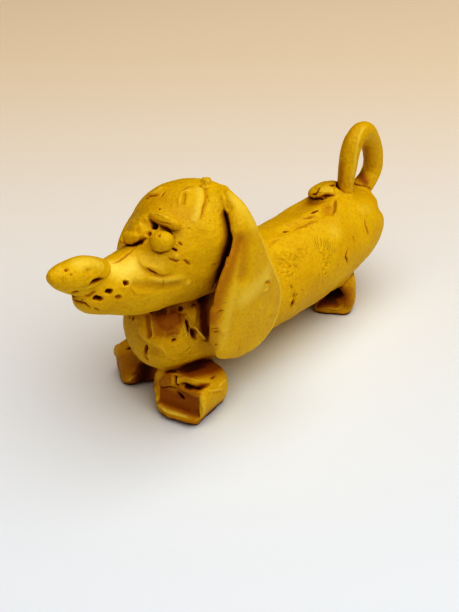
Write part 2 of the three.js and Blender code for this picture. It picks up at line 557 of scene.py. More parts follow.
@dataclass(frozen=True)
class Crumble(Mark):
    """A place where the clay has torn or dried a little and lies rough."""

    wide: float = 2.0
    high: float = 0.08
    size: float = 0.5
    felt: ClassVar[float] = 1.1
    finer: ClassVar[float] = 0.5
    finer_seed: ClassVar[int] = 5
    sharp: ClassVar[float] = 0.4

    def depth(self, near: Near) -> tuple[np.ndarray, np.ndarray]:
        """Gives the roughness as a depth, and the strength of its colour.

        Args:
            near: The points near the mark.

        Returns:
            A depth in millimetres and a strength from 0 to 1 for each point.
        """
        fall = mound(near.across / self.wide)
        grain = noise(near.place, self.size, seed_of(self.name))
        grain = grain + self.finer * noise(near.place, self.size / 2, self.finer_seed)
        return self.high * fall * (grain + self.sharp * np.abs(grain)), fall * smooth(grain)


@dataclass(frozen=True)
class Print(Mark):
    """A fingertip's print: ridges round a point beside the place that was touched, clear in patches."""

    wide: float = 2.5
    strong: float = 1.0
    whorl: Point = (0.0, 0.0, 0.0)
    felt: ClassVar[float] = 1.1
    edge: ClassVar[float] = 1.4
    patch_size: ClassVar[float] = 1.4
    patch_level: ClassVar[float] = 0.8
    bend: ClassVar[float] = 0.3
    bend_size: ClassVar[float] = 1.8

    def apply(self, clay: Clay) -> None:
        """Notes how clear the ridges are, and how far each point lies from their middle.

        Args:
            clay: The lump's surface.
        """
        near = self.find(clay)
        if near is None:
            return
        seed = seed_of(self.name)
        patches = smooth(self.patch_level + noise(near.place, self.patch_size, seed + 3))
        clear = self.strong * (smooth(self.edge * (1.0 - near.across / self.wide)) * patches)
        middle = np.array(self.route[0]) + np.array(self.whorl)
        far = np.linalg.norm(near.place - middle, axis=1)
        far = far + self.bend * noise(near.place, self.bend_size, seed + 5)
        won = clear > clay.prints[near.index]
        clay.prints[near.index[won]] = clear[won]
        clay.ridges[near.index[won]] = far[won]


@dataclass(frozen=True)
class Swells:
    """The slow unevenness that fingers leave all over a lump."""

    size: float
    high: float
    seed: int

    def apply(self, clay: Clay) -> None:
        """Lifts and lowers the whole surface.

        Args:
            clay: The lump's surface.
        """
        clay.move += clay.facing * (self.high * noise(clay.place, self.size, self.seed))[:, None]


Marks = list[Union[Mark, Swells]]


@dataclass
class HollowShade:
    """How closely the lumps and the table crowd round each place, which sets the shade painted into the clay
    there. Sizes are in millimetres.
    """

    cell: float = 0.5
    spread: int = 3
    passes: int = 2
    margin: float = 4.5
    off_grid: float = 0.137
    upright: float = 1e-9
    lift: float = 1.2
    start: float = 0.26
    full: float = 0.6
    low: np.ndarray = field(default_factory=lambda: np.zeros(3))
    crowd: np.ndarray = field(default_factory=lambda: np.zeros((1, 1, 1)))

    def fill(self) -> None:
        """Notes which cells of space are clay or table, and evens that out over a few cells."""
        low, high = (np.array(corner) / MM for corner in CAD_BOX)
        self.low = low - self.margin - self.off_grid
        counts = np.ceil((high + self.margin - self.low) / self.cell).astype(int)
        turns = np.zeros(counts, dtype=np.int32)
        for solid in frame["nodes"].values():
            self.cross(solid.data, turns)
        turns[turns.sum(axis=2) != 0] = 0
        clay = (np.cumsum(turns, axis=2) > 0).astype(float)
        clay[:, :, : int(round(-self.low[2] / self.cell))] = 1.0
        steps = range(-self.spread, self.spread + 1)
        for _ in range(self.passes):
            for axis in range(3):
                clay = sum(np.roll(clay, step, axis=axis) for step in steps) / len(steps)
        self.crowd = clay

    def cross(self, solid: bpy.types.Mesh, turns: np.ndarray) -> None:
        """Notes where upright lines enter and leave a solid.

        Args:
            solid: The solid's own mesh, which stays as it is.
            turns: Cells of space: minus one where a line leaves the clay above them, one where it enters.
        """
        bm = bmesh.new()
        bm.from_mesh(solid)
        bmesh.ops.triangulate(bm, faces=bm.faces)
        corners = np.array([[vertex.co for vertex in face.verts] for face in bm.faces]) / MM
        bm.free()
        for triangle in (corners - self.low) / self.cell - 0.5:
            first, second = triangle[1] - triangle[0], triangle[2] - triangle[0]
            area = first[0] * second[1] - first[1] * second[0]
            if abs(area) < self.upright:
                continue
            start = np.ceil(triangle[:, :2].min(axis=0)).astype(int)
            stop = np.floor(triangle[:, :2].max(axis=0)).astype(int) + 1
            x, y = np.meshgrid(np.arange(start[0], stop[0]), np.arange(start[1], stop[1]), indexing="ij")
            gap_x, gap_y = x - triangle[0, 0], y - triangle[0, 1]
            right = (gap_x * second[1] - gap_y * second[0]) / area
            left = (gap_y * first[0] - gap_x * first[1]) / area
            inside = (right >= 0.0) & (left >= 0.0) & (right + left < 1.0)
            height = triangle[0, 2] + right * first[2] + left * second[2]
            level = np.ceil(height[inside]).astype(int)
            np.add.at(turns, (x[inside], y[inside], level), -int(math.copysign(1, area)))

    def at(self, place: np.ndarray, facing: np.ndarray) -> np.ndarray:
        """Tells how hollow the surface is at some places, which sets the shade painted there.

        Args:
            place: The places on the part, in millimetres.
            facing: The surface's direction there.

        Returns:
            A value from 0 to 1 for each place.
        """
        grid = (place + facing * self.lift - self.low) / self.cell - 0.5
        cell = np.floor(grid).astype(int)
        total = np.zeros(len(place))
        for corner, share in corners(cell, grid - cell):
            index = np.clip(corner, 0, np.array(self.crowd.shape) - 1)
            total += self.crowd[tuple(index.T)] * share
        return smooth((total - self.start) / (self.full - self.start))


def mesh_of(bm: bmesh.types.BMesh, name: str) -> bpy.types.Mesh:
    """Writes a bmesh into a new mesh and frees it.

    Args:
        bm: The bmesh.
        name: The mesh's name.

    Returns:
        The mesh.
    """
    mesh = bpy.data.meshes.new(name)
    bm.to_mesh(mesh)
    bm.free()
    return mesh


def shown(name: str, data: bpy.types.ID) -> bpy.types.Object:
    """Puts a mesh, a lamp or a camera into the scene.

    Args:
        name: The object's name.
        data: The mesh, lamp or camera.

    Returns:
        The object.
    """
    obj = bpy.data.objects.new(name, data)
    bpy.context.scene.collection.objects.link(obj)
    return obj


@dataclass
class Lump:
    """A lump of clay: a solid's own form at a fine grain, with the marks of the hand that made it.

    Sizes are in millimetres and angles in degrees.
    """

    node: str
    frame: Frame
    grain: float
    marks: Marks = field(default_factory=list)
    finer: Sequence[tuple[Point, Point]] = ()
    inflate: float = 0.05
    weld: float = 1e-3
    join_bend: float = 50.0
    join_skew: float = 70.0
    rounding: int = 2
    easing: float = 0.5
    easings: int = 4
    mesh: Optional[bpy.types.Mesh] = None
    origin: np.ndarray = field(default_factory=lambda: np.zeros(3))

    def coarse(self) -> bpy.types.Mesh:
        """Copies the solid's mesh, closed, with pairs of triangles joined where they lie nearly flat.

        Returns:
            The copy, in millimetres.
        """
        bm = bmesh.new()
        bm.from_mesh(frame["nodes"][self.node].data)
        bmesh.ops.scale(bm, vec=Vector((1 / MM,) * 3), verts=bm.verts)
        bmesh.ops.translate(bm, vec=Vector(-self.origin), verts=bm.verts)
        bmesh.ops.remove_doubles(bm, verts=bm.verts, dist=self.weld)
        bend, skew = math.radians(self.join_bend), math.radians(self.join_skew)
        bmesh.ops.join_triangles(bm, faces=bm.faces, angle_face_threshold=bend, angle_shape_threshold=skew)
        return mesh_of(bm, self.node + "_coarse")

    def roll(self) -> None:
        """Makes the lump's fine mesh from its solid, in millimetres in the frame of its marks."""
        self.origin = self.frame.origin()
        coarse = self.coarse()
        holder = shown(coarse.name, coarse)
        round_off = holder.modifiers.new("round", "SUBSURF")
        round_off.levels = round_off.render_levels = self.rounding
        fine = holder.modifiers.new("fine", "REMESH")
        fine.mode = "VOXEL"
        fine.voxel_size = self.grain
        fine.adaptivity = 0.0
        even = holder.modifiers.new("even", "SMOOTH")
        even.factor = self.easing
        even.iterations = self.easings
        graph = bpy.context.evaluated_depsgraph_get()
        self.mesh = bpy.data.meshes.new_from_object(holder.evaluated_get(graph))
        self.mesh.name = self.node + "_clay"
        bpy.data.objects.remove(holder)
        bpy.data.meshes.remove(coarse)
        self.refine()
        clay = self.surface()
        clay.move = clay.facing * self.inflate
        clay.settle()
        self.write(clay)

    def refine(self) -> None:
        """Halves the grain in the boxes where the marks are finest."""
        if not self.finer:
            return
        bm = bmesh.new()
        bm.from_mesh(self.mesh)
        places = np.array([vertex.co for vertex in bm.verts])
        held = np.zeros(len(places), dtype=bool)
        for low, high in self.finer:
            held |= np.all((places > low) & (places < high), axis=1)
        chosen = [edge for edge in bm.edges if held[edge.verts[0].index] and held[edge.verts[1].index]]
        bmesh.ops.subdivide_edges(bm, edges=chosen, cuts=1, use_grid_fill=True)
        bm.to_mesh(self.mesh)
        bm.free()

    def surface(self) -> Clay:
        """Reads the lump's surface.

        Returns:
            The surface, not yet marked.
        """
        count = len(self.mesh.vertices)
        place = np.empty(count * 3)
        self.mesh.vertices.foreach_get("co", place)
        facing = np.empty(count * 3)
        self.mesh.vertex_normals.foreach_get("vector", facing)
        tones = [np.zeros(count) for _ in range(4)]
        return Clay(place.reshape(-1, 3), facing.reshape(-1, 3), np.zeros((count, 3)), *tones)

    def edges(self) -> np.ndarray:
        """Gives the pairs of neighbouring points.

        Returns:
            Two numbers of points in each row.
        """
        pairs = np.empty(len(self.mesh.edges) * 2, dtype=np.int32)
        self.mesh.edges.foreach_get("vertices", pairs)
        return pairs.reshape(-1, 2)

    def write(self, clay: Clay) -> None:
        """Writes the surface's places back to the mesh."""
        self.mesh.vertices.foreach_set("co", clay.place.ravel())
        self.mesh.update()

    def tree(self) -> BVHTree:
        """Gives the lump's surface for measuring distances.

        Returns:
            The surface as a search tree.
        """
        places = [vertex.co for vertex in self.mesh.vertices]
        polygons = [tuple(polygon.vertices) for polygon in self.mesh.polygons]
        return BVHTree.FromPolygons(places, polygons)

    def carve(self, hollows: HollowShade) -> None:
        """Presses the lump's marks into it, and notes where its colour changes, painted shade included.

        Args:
            hollows: How closely the lumps crowd round each place, for the painted shade.
        """
        clay = self.surface()
        for mark in self.marks:
            mark.apply(clay)
        clay.settle()
        if self.frame is Frame.DOG:
            clay.place[:, 2] = np.maximum(clay.place[:, 2], 0.0)
        self.write(clay)
        tones = {name: getattr(clay, name) for name in ("stain_and_shade", "pale", "prints", "ridges")}
        # How hollow each place is, which sets the shade painted there.
        tones["hollow"] = hollows.at(clay.place + self.origin, self.surface().facing)
        for name, values in tones.items():
            attribute = self.mesh.attributes.new(name, "FLOAT", "POINT")
            attribute.data.foreach_set("value", values)

    def finish(self, material: bpy.types.Material) -> bpy.types.Object:
        """Places the lump on the part and dresses it.

        Args:
            material: The clay's finish.

        Returns:
            The finished piece.
        """
        self.mesh.transform(Matrix.Translation(Vector(self.origin * MM)) @ Matrix.Scale(MM, 4))
        self.mesh.shade_smooth()
        self.mesh.materials.clear()
        self.mesh.materials.append(material)
        piece = shown(self.node + "_clay", self.mesh)
        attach(piece, "root")
        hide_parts(self.node)
        log.info("%s: %d faces, %d marks", piece.name, len(self.mesh.polygons), len(self.marks))
        return piece


def spread(values: np.ndarray, edges: np.ndarray, passes: int) -> np.ndarray:
    """Evens out a value for each point with its neighbours' values.

    Args:
        values: One row for each point.
        edges: Pairs of neighbouring points.
        passes: How often the values are evened out.

    Returns:
        The evened values.
    """
    count = len(values)
    ends = np.concatenate([edges[:, 0], edges[:, 1]])
    others = np.concatenate([edges[:, 1], edges[:, 0]])
    share = np.maximum(np.bincount(ends, minlength=count), 1)
    for _ in range(passes):
        sums = [np.bincount(ends, weights=column, minlength=count) for column in values[others].T]
        values = 0.5 * values + 0.5 * np.stack(sums, axis=1) / share[:, None]
    return values


@dataclass(frozen=True)
class Seam:
    """Two lumps pressed together, with the clay smeared over the joint. Sizes are in millimetres."""

    first: str
    second: str
    smear: float
    bed: float = 0.7
    free_below: float = -99.0
    even: float = 0.5
    free_soft: ClassVar[float] = 1.5
    closest: ClassVar[float] = 0.02
    bed_reach: ClassVar[float] = 0.9
    bed_soft: ClassVar[float] = 0.4
    least_turn: ClassVar[float] = 0.35
    turn_soft: ClassVar[float] = 0.5
    lift: ClassVar[float] = 0.25
    lean: ClassVar[float] = 0.6
    least_way: ClassVar[float] = 0.3

    def close(self, lumps: dict[str, Lump]) -> None:
        """Closes the gap between the two lumps and rounds the corner between them.

        Args:
            lumps: All lumps by name.
        """
        pair = [lumps[self.first], lumps[self.second]]
        moves = [self.moves(pair[0], pair[1]), self.moves(pair[1], pair[0])]
        for lump, move in zip(pair, moves):
            clay = lump.surface()
            clay.move = move
            clay.settle()
            lump.write(clay)

    def moves(self, lump: Lump, other: Lump) -> np.ndarray:
        """Works out how the points of one lump move towards the other.

        Args:
            lump: The lump that moves.
            other: The lump that it is pressed onto.

        Returns:
            A move in millimetres for each point.
        """
        clay = lump.surface()
        shift = lump.origin - other.origin
        reach = max(self.smear, self.bed_reach)
        target = other.surface().place
        low, high = target.min(axis=0) - reach - shift, target.max(axis=0) + reach - shift
        index = np.nonzero(np.all((clay.place > low) & (clay.place < high), axis=1))[0]
        tree = other.tree()
        move = np.zeros((len(clay.place), 3))
        held = smooth((clay.place[:, 2] - self.free_below) / self.free_soft)
        for k in index:
            spot, _, _, distance = tree.find_nearest(Vector(clay.place[k] + shift), reach)
            if spot is None or held[k] == 0.0:
                continue
            away = (clay.place[k] + shift - np.array(spot)) / max(distance, self.closest)
            facing = clay.facing[k]
            toward = -float(facing @ away)
            turned = min(max((toward - self.least_turn) / self.turn_soft, 0.0), 1.0)
            bedded = turned * min(max((self.bed_reach - distance) / self.bed_soft, 0.0), 1.0)
            lift = (1.0 - min(distance / self.smear, 1.0)) ** 2 * self.smear * self.lift
            way = facing + self.lean * away
            length = np.linalg.norm(way)
            fillet = way / length * lift if length > self.least_way else np.zeros(3)
            move[k] = held[k] * (bedded * -away * self.bed + (1.0 - bedded) * fillet)
        return spread(move, lump.edges(), max(2, round(self.even / lump.grain) ** 2 // 2))


class Sock:
    """A shader socket that maths can be written with."""

    def __init__(self, nodes: "Nodes", socket: Union[bpy.types.NodeSocket, float]) -> None:
        """Holds a socket of a node tree, or a plain number."""
        self.nodes = nodes
        self.socket = socket

    def math(self, operation: str, *others: Union["Sock", float], first: bool = True) -> "Sock":
        """Adds one step of maths.

        Args:
            operation: Name of the Math node's operation.
            others: The other values.
            first: Whether this socket is the first value.

        Returns:
            The result.
        """
        values = [self, *others] if first else [*others, self]
        node = self.nodes.add("ShaderNodeMath", {"operation": operation}, dict(enumerate(values)))
        return Sock(self.nodes, node.outputs[0])

    def __add__(self, other: Union["Sock", float]) -> "Sock":
        """Adds."""
        return self.math("ADD", other)

    __radd__ = __add__

    def __mul__(self, other: Union["Sock", float]) -> "Sock":
        """Multiplies."""
        return self.math("MULTIPLY", other)

    __rmul__ = __mul__

    def __sub__(self, other: Union["Sock", float]) -> "Sock":
        """Takes another value away."""
        return self.math("SUBTRACT", other)

    def __rsub__(self, other: Union["Sock", float]) -> "Sock":
        """Takes this value away from another."""
        return self.math("SUBTRACT", other, first=False)

    def between(self, low: float, high: float) -> "Sock":
        """Eases from 0 at the low value to 1 at the high one.

        Args:
            low: Value that gives 0.
            high: Value that gives 1.

        Returns:
            The eased value.
        """
        values = {0: self, 1: low, 2: high, 3: 0.0, 4: 1.0}
        node = self.nodes.add("ShaderNodeMapRange", {"interpolation_type": "SMOOTHSTEP"}, values)
        return Sock(self.nodes, node.outputs[0])


class Nodes:
    """The node tree of one material."""

    def __init__(self, material: bpy.types.Material) -> None:
        """Clears a material's node tree and holds it."""
        material.use_nodes = True
        self.tree = material.node_tree
        self.tree.nodes.clear()

    def add(self, kind: str, settings: dict[str, object], values: dict[object, object]) -> bpy.types.Node:
        """Adds a node.

        Args:
            kind: The node's type.
            settings: Its own settings, set first.
            values: What goes into its sockets, by their names or numbers: a value, or a socket to link.

        Returns:
            The node.
        """
        node = self.tree.nodes.new(kind)
        for name, setting in settings.items():
            setattr(node, name, setting)
        for key, value in values.items():
            socket = node.inputs[key]
            if isinstance(value, Sock):
                self.tree.links.new(value.socket, socket)
            else:
                socket.default_value = value
        return node

    def sock(self, node: bpy.types.Node, output: Union[int, str] = 0) -> Sock:
        """Gives one of a node's outputs for maths."""
        return Sock(self, node.outputs[output])

    def place(self) -> Sock:
        """Gives the place on the object, in metres."""
        return self.sock(self.add("ShaderNodeTexCoord", {}, {}), "Object")

    def surface(self, values: dict[object, object]) -> None:
        """Adds the shader, with what goes into its sockets, and the material's output."""
        shader = self.add("ShaderNodeBsdfPrincipled", {}, values)
        self.add("ShaderNodeOutputMaterial", {}, {"Surface": self.sock(shader)})

    def mix(self, factor: Sock, low: object, high: object) -> Sock:
        """Mixes two colours.

        Args:
            factor: Share of the second colour.
            low: The first colour.
            high: The second colour.

        Returns:
            The mixed colour.
        """
        node = self.add("ShaderNodeMix", {"data_type": "RGBA"}, {"Factor": factor, 6: low, 7: high})
        return Sock(self, node.outputs[2])


@dataclass(frozen=True)
class Plasticine:
    """Kneaded mustard-yellow clay, matt with a soft sheen, with finger ridges and pores, pale smears and
    painted highlights, dark cracks, and painted shade in its creases and hollows.
    """

    base: Colour = (0.71, 0.458, 0.001, 1.0)
    light: Colour = (0.77, 0.522, 0.003, 1.0)
    deep: Colour = (0.62, 0.33, 0.001, 1.0)
    # Near black and red-brown: painted shade in creases, hollows and under overhangs, and the dark of cracks
    # and holes.
    crease: Colour = (0.06, 0.009, 0.001, 1.0)
    # Pale clay for smears and for painted highlights on raised edges and lit tops.
    smear: Colour = (0.88, 0.69, 0.13, 1.0)
    shade: Colour = (0.38, 0.12, 0.001, 1.0)
    deep_fine: float = 0.45
    deep_grit: float = 0.2
    least_smear: float = 0.5
    hollow_shade_most: float = 0.75
    ridge_gap: float = 0.48
    ridge_high: float = 0.066
    fine_high: float = 0.19
    grit_high: float = 0.06
    pore_scale: float = 0.42
    pore_deep: float = 0.1
    rough: float = 0.32
    rough_fine: float = 0.2
    rough_broad: float = 0.12
    sheen: float = 0.32

    def material(self) -> bpy.types.Material:
        """Makes the clay's material.

        Returns:
            The material.
        """
        made = bpy.data.materials.new("plasticine")
        nodes = Nodes(made)
        spot = nodes.add("ShaderNodeVectorMath", {"operation": "SCALE"}, {0: nodes.place(), "Scale": 1 / MM})
        mm = nodes.sock(spot)
        broad = self.swirl(nodes, mm, scale=0.17, detail=3.0)
        fine = self.swirl(nodes, mm, scale=1.6, detail=4.0)
        grit = self.swirl(nodes, mm, scale=5.0, detail=2.0)
        specks = fine.between(0.42, 0.75) * self.deep_fine + grit.between(0.5, 0.8) * self.deep_grit
        stain_and_shade = self.noted(nodes, "stain_and_shade")
        hollow = self.noted(nodes, "hollow")
        colour = nodes.mix(broad.between(0.3, 0.7), self.base, self.light)
        colour = nodes.mix(specks, colour, self.deep)
        # Pale smears and painted highlights.
        colour = nodes.mix(self.noted(nodes, "pale") * (self.least_smear + fine), colour, self.smear)
        # Painted shade: the marks' darkening and the hollows between the lumps and the table turn the clay
        # red-brown, and near black where deepest; the marks' darkening also gives the dark of cracks.
        colour = nodes.mix(stain_and_shade.between(0.0, 0.75), colour, self.shade)
        colour = nodes.mix(hollow, colour, self.shade)
        colour = nodes.mix(hollow.between(0.55, 1.0) * self.hollow_shade_most, colour, self.crease)
        colour = nodes.mix(stain_and_shade.between(0.5, 1.0), colour, self.crease)
        texture = fine * self.fine_high + grit * self.grit_high
        height = texture + self.prints(nodes) - self.pores(nodes, mm)
        bump = nodes.add("ShaderNodeBump", {}, {"Strength": 1.0, "Distance": MM, "Height": height})
        nodes.surface({
            "Base Color": colour,
            "Roughness": (fine * self.rough_fine + broad * self.rough_broad) + self.rough,
            "Normal": nodes.sock(bump),
            "Specular IOR Level": self.sheen,
        })
        return made

    def swirl(self, nodes: Nodes, mm: Sock, scale: float, detail: float) -> Sock:
        """Adds cloudy noise.

        Args:
            nodes: The material's nodes.
            mm: Places in millimetres.
            scale: Swells in a millimetre.
            detail: How many finer layers it has.

        Returns:
            A value round one half.
        """
        values = {"Vector": mm, "Scale": scale, "Detail": detail, "Roughness": 0.55}
        return nodes.sock(nodes.add("ShaderNodeTexNoise", {}, values))

    def noted(self, nodes: Nodes, name: str) -> Sock:
        """Gives a value that was noted on the lump's surface."""
        return nodes.sock(nodes.add("ShaderNodeAttribute", {"attribute_name": name}, {}), "Fac")

    def prints(self, nodes: Nodes) -> Sock:
        """Adds the finger ridges where a print was left.

        Args:
            nodes: The material's nodes.

        Returns:
            The ridges' height in millimetres.
        """
        wave = (self.noted(nodes, "ridges") * (2 * math.pi / self.ridge_gap)).math("SINE")
        return wave * self.noted(nodes, "prints") * self.ridge_high

    def pores(self, nodes: Nodes, mm: Sock) -> Sock:
        """Adds scattered pores.

        Args:
            nodes: The material's nodes.
            mm: Places in millimetres.

        Returns:
            The pores' depth in millimetres.
        """
        cells = nodes.add("ShaderNodeTexVoronoi", {"feature": "F1"}, {"Vector": mm, "Scale": self.pore_scale})
        return (1.0 - nodes.sock(cells).between(0.03, 0.1)) * self.pore_deep


@dataclass(frozen=True)
class Studio:
    """A pale floor that darkens and warms towards the back as a painted fall-off of the light, soft light and
    the camera.

    Sizes are in millimetres and angles in degrees. The focal length and the picture's height are in pixels.
    """

    camera: Point = (86.944, -97.030, 94.07)
    azimuth: float = 43.0
    elevation: float = 33.0
    focal: float = 850.0
    height: float = 612.0
    sensor: float = 36.0
    nearest: float = 1.0
    farthest: float = 10000.0
    floor: float = 6000.0
    lamp_way: Point = (0.32, 0.0, 0.95)
    lamp_far: float = 800.0
    lamp_wide: float = 1500.0
    lamp_power: float = 7.4
    lamp_colour: Point = (0.92, 0.98, 1.03)
    room_colour: Colour = (1.0, 0.45, 0.10, 1.0)
    room_power: float = 0.11
    near_floor: Colour = (0.785, 0.835, 0.87, 1.0)
    far_floor: Colour = (0.81, 0.70, 0.53, 1.0)
    floor_turns: tuple[float, float] = (-90.0, 200.0)

    def build(self) -> None:
        """Makes the floor, the lights, the surroundings and the camera."""
        self.lay_floor()
        self.hang_lamp()
        self.light_room()
        self.set_camera()

    def away(self) -> Vector:
        """Gives the level direction in which the camera looks."""
        turn = math.radians(self.azimuth)
        return Vector((-math.sin(turn), math.cos(turn), 0.0))

    def lay_floor(self) -> None:
        """Lays the pale floor, which darkens and warms towards the back as a painted fall-off of the light.
        """
        bm = bmesh.new()
        bmesh.ops.create_grid(bm, x_segments=1, y_segments=1, size=self.floor * MM / 2)
        mesh = mesh_of(bm, "floor")
        made = bpy.data.materials.new("floor")
        nodes = Nodes(made)
        values = {0: nodes.place(), 1: self.away()}
        along = nodes.sock(nodes.add("ShaderNodeVectorMath", {"operation": "DOT_PRODUCT"}, values), "Value")
        near, far = self.floor_turns
        # Painted fall-off of the light: the floor darkens and warms from near to far along the view.
        colour = nodes.mix(along.between(near * MM, far * MM), self.near_floor, self.far_floor)
        nodes.surface({"Base Color": colour, "Roughness": 0.9, "Specular IOR Level": 0.1})
        mesh.materials.append(made)
        shown("floor", mesh)

    def hang_lamp(self) -> None:
        """Hangs the wide soft lamp over the dog's left side."""
        lamp = bpy.data.lights.new("softbox", "AREA")
        lamp.shape = "DISK"
        lamp.size = self.lamp_wide * MM
        lamp.energy = self.lamp_power
        lamp.color = self.lamp_colour
        obj = shown("softbox", lamp)
        obj.location = Vector(self.lamp_way).normalized() * self.lamp_far * MM
        obj.rotation_euler = (-obj.location).to_track_quat("-Z", "Y").to_euler()

    def light_room(self) -> None:
        """Sets the dim warm light of the room."""
        world = bpy.data.worlds.new("room")
        bpy.context.scene.world = world
        world.use_nodes = True
        sky = world.node_tree.nodes["Background"]
        sky.inputs["Color"].default_value = self.room_colour
        sky.inputs["Strength"].default_value = self.room_power

    def set_camera(self) -> None:
        """Sets the camera to the photograph's view."""
        lens = bpy.data.cameras.new("view")
        lens.sensor_fit = "AUTO"
        lens.sensor_width = self.sensor
        lens.lens = self.focal / self.height * self.sensor
        lens.clip_start = self.nearest * MM
        lens.clip_end = self.farthest * MM
        obj = shown("view", lens)
        obj.location = Vector(self.camera) * MM
        obj.rotation_euler = (math.radians(90.0 - self.elevation), 0.0, math.radians(self.azimuth))
        bpy.context.scene.camera = obj


@dataclass(frozen=True)
class Head:
    """The skull and snout, with the cone of the nose. Grains are in millimetres."""

    grain: float = 0.15
    nose_grain: float = 0.12

    def lumps(self) -> list[Lump]:
        """Gives the head's lumps."""
        skull = [*self.swells(), *self.crown(), *self.forehead(), *self.ear_line(), *self.sockets(),
                 *self.cheek(), *self.snout(), *self.whiskers(), *self.mouth()]
        return [
            Lump("head", Frame.HEAD, self.grain, skull),
            Lump("nose", Frame.HEAD, self.nose_grain, self.nose()),
        ]

    def swells(self) -> list[Swells]:
        """Gives the slow unevenness of the skull."""
        return [Swells(5.0, 0.16, 11), Swells(1.7, 0.045, 12), Swells(0.6, 0.014, 13)]

    def crown(self) -> list[Mark]:
        """Gives the layers and cracks over the top of the head."""
        return [
            Flap("crown layer", [(-4.9, -5.4, 5.4), (-4.2, -5.0, 6.6), (-3.6, -4.3, 7.6), (-3.3, -3.3, 8.3),
                 (-3.0, -2.3, 8.7), (-2.3, -1.4, 9.1)], wide=0.9, high=0.3, edge=0.25, under=0.3, stain_and_shade=0.5),
            Groove("crown line", [(-3.9, -4.7, 7.4), (-3.2, -4.5, 7.8), (-2.6, -4.3, 8.1)], wide=0.24,
                   deep=0.25, stain_and_shade=0.6, wander=0.06),
            Groove("crown crack", [(-3.3, -4.3, 7.9), (-2.8, -4.2, 8.2), (-2.3, -3.9, 8.5),
                   (-1.8, -3.5, 8.7)], wide=0.24, deep=0.35, stain_and_shade=0.85, wander=0.06),
            Ridge("crown fold", [(-3.5, -4.1, 7.8), (-2.9, -3.7, 8.3), (-2.6, -3.0, 8.7), (-2.6, -2.1, 8.9),
                  (-2.3, -1.4, 9.1)], wide=0.36, high=0.2, pale=0.25, wander=0.06),
            Groove("crown nick", [(-1.0, -4.0, 8.7), (-1.2, -3.5, 8.9), (-1.4, -2.8, 9.1)], wide=0.24,
                   deep=0.3, lip=0.05, stain_and_shade=0.7, wander=0.06),
            Groove("top crack", [(0.6, -1.4, 9.3), (0.6, -0.6, 9.4), (0.7, 0.7, 9.4), (1.4, 1.3, 9.3)],
                   wide=0.28, lip=0.05, stain_and_shade=0.65),
            Ridge("top fold", [(1.0, -1.6, 9.3), (1.5, -0.5, 9.3), (2.1, 0.6, 9.2)], wide=0.45, high=0.22,
                  pale=0.3),
            Dent("crumb", [(0.4, 4.2, 9.0), (1.6, 3.3, 9.1)], wide=0.8, deep=-0.5, level=2.2, pale=0.2,
                 wander=0.25),
            Dent("crumb end", [(1.8, 3.1, 9.1)], wide=0.6, deep=-0.25, level=1.6, pale=0.2, wander=0.2),
            Groove("under the crumb", [(0.7, 2.6, 9.3), (2.0, 2.0, 9.1), (3.0, 2.5, 8.6)], wide=0.25,
                   deep=0.25, stain_and_shade=0.5),
        ]

    def forehead(self) -> list[Mark]:
        """Gives the strips that a nail lifted on the forehead."""
        return [
            Ridge("left side of the slot", [(1.0, -1.6, 9.3), (2.0, -2.7, 8.9), (3.1, -3.8, 8.3)], wide=0.4,
                  high=0.16, pale=0.35),
            Dent("slot", [(1.6, -1.3, 9.2), (2.3, -2.1, 9.0), (3.0, -2.9, 8.6)], wide=0.42, deep=0.28,
                 stain_and_shade=0.35),
            Dent("strip", [(2.1, 1.2, 9.2), (3.7, -0.2, 8.7), (4.8, -1.8, 8.0), (5.7, -3.2, 7.0)], wide=1.0,
                 deep=-0.16, pale=0.55),
            Flap("edge of the strip", [(2.0, 2.4, 9.1), (4.4, 0.3, 8.4), (5.4, -1.2, 7.6), (6.3, -2.6, 6.6)],
                 wide=0.7, high=0.16, edge=0.22, under=0.22, stain_and_shade=0.4),
            Dent("forehead shade", [(-2.6, -3.8, 8.4), (1.0, -4.5, 8.5), (4.6, -3.6, 7.8)], wide=3.6,
                 deep=0.0, stain_and_shade=0.2),
            Pit("pin hole", [(0.9, -6.0, 8.0)], wide=0.24, stain_and_shade=0.95, wander=0.05),
            Dent("temple", [(7.6, -4.0, 4.0), (8.2, -4.0, 1.0)], wide=3.0, deep=0.35),
            Groove("wrinkle", [(8.8, -3.0, 0.3), (9.1, -2.2, -0.2)], wide=0.25, deep=0.1, stain_and_shade=0.2),
            Print("temple print", [(8.0, -3.5, 3.0)], wide=3.0, strong=0.12, whorl=(0.0, 3.0, 2.0)),
            Print("forehead print", [(3.6, -5.0, 7.8)], wide=2.6, strong=0.15, whorl=(-2.0, 2.0, 0.0)),
        ]

    def ear_line(self) -> list[Mark]:
        """Gives the gap before the left ear, darkened with painted shadow, and the clay drawn from the skull
        onto the ear above it.
        """
        return [
            Dent("ear root", [(2.4, 4.6, 8.7), (3.8, 3.4, 8.4), (5.0, 2.5, 7.9)], wide=3.0, deep=-0.55),
            Dent("behind the ear root", [(4.0, 5.0, 7.9), (4.8, 4.2, 7.7), (5.4, 3.6, 7.4)], deep=-0.8),
            # The gap's darkness is painted shadow.
            Groove("gap before the ear", [(6.4, 2.5, 7.1), (7.5, 2.0, 6.0), (8.5, 1.6, 4.6), (9.1, 1.0, 3.0),
                   (9.4, 0.0, 1.2), (9.3, -0.9, -0.7), (8.9, -1.5, -2.4), (8.0, -1.9, -4.1),
                   (6.9, -1.6, -6.0)], wide=0.36, deep=0.25, stain_and_shade=0.9),
        ]

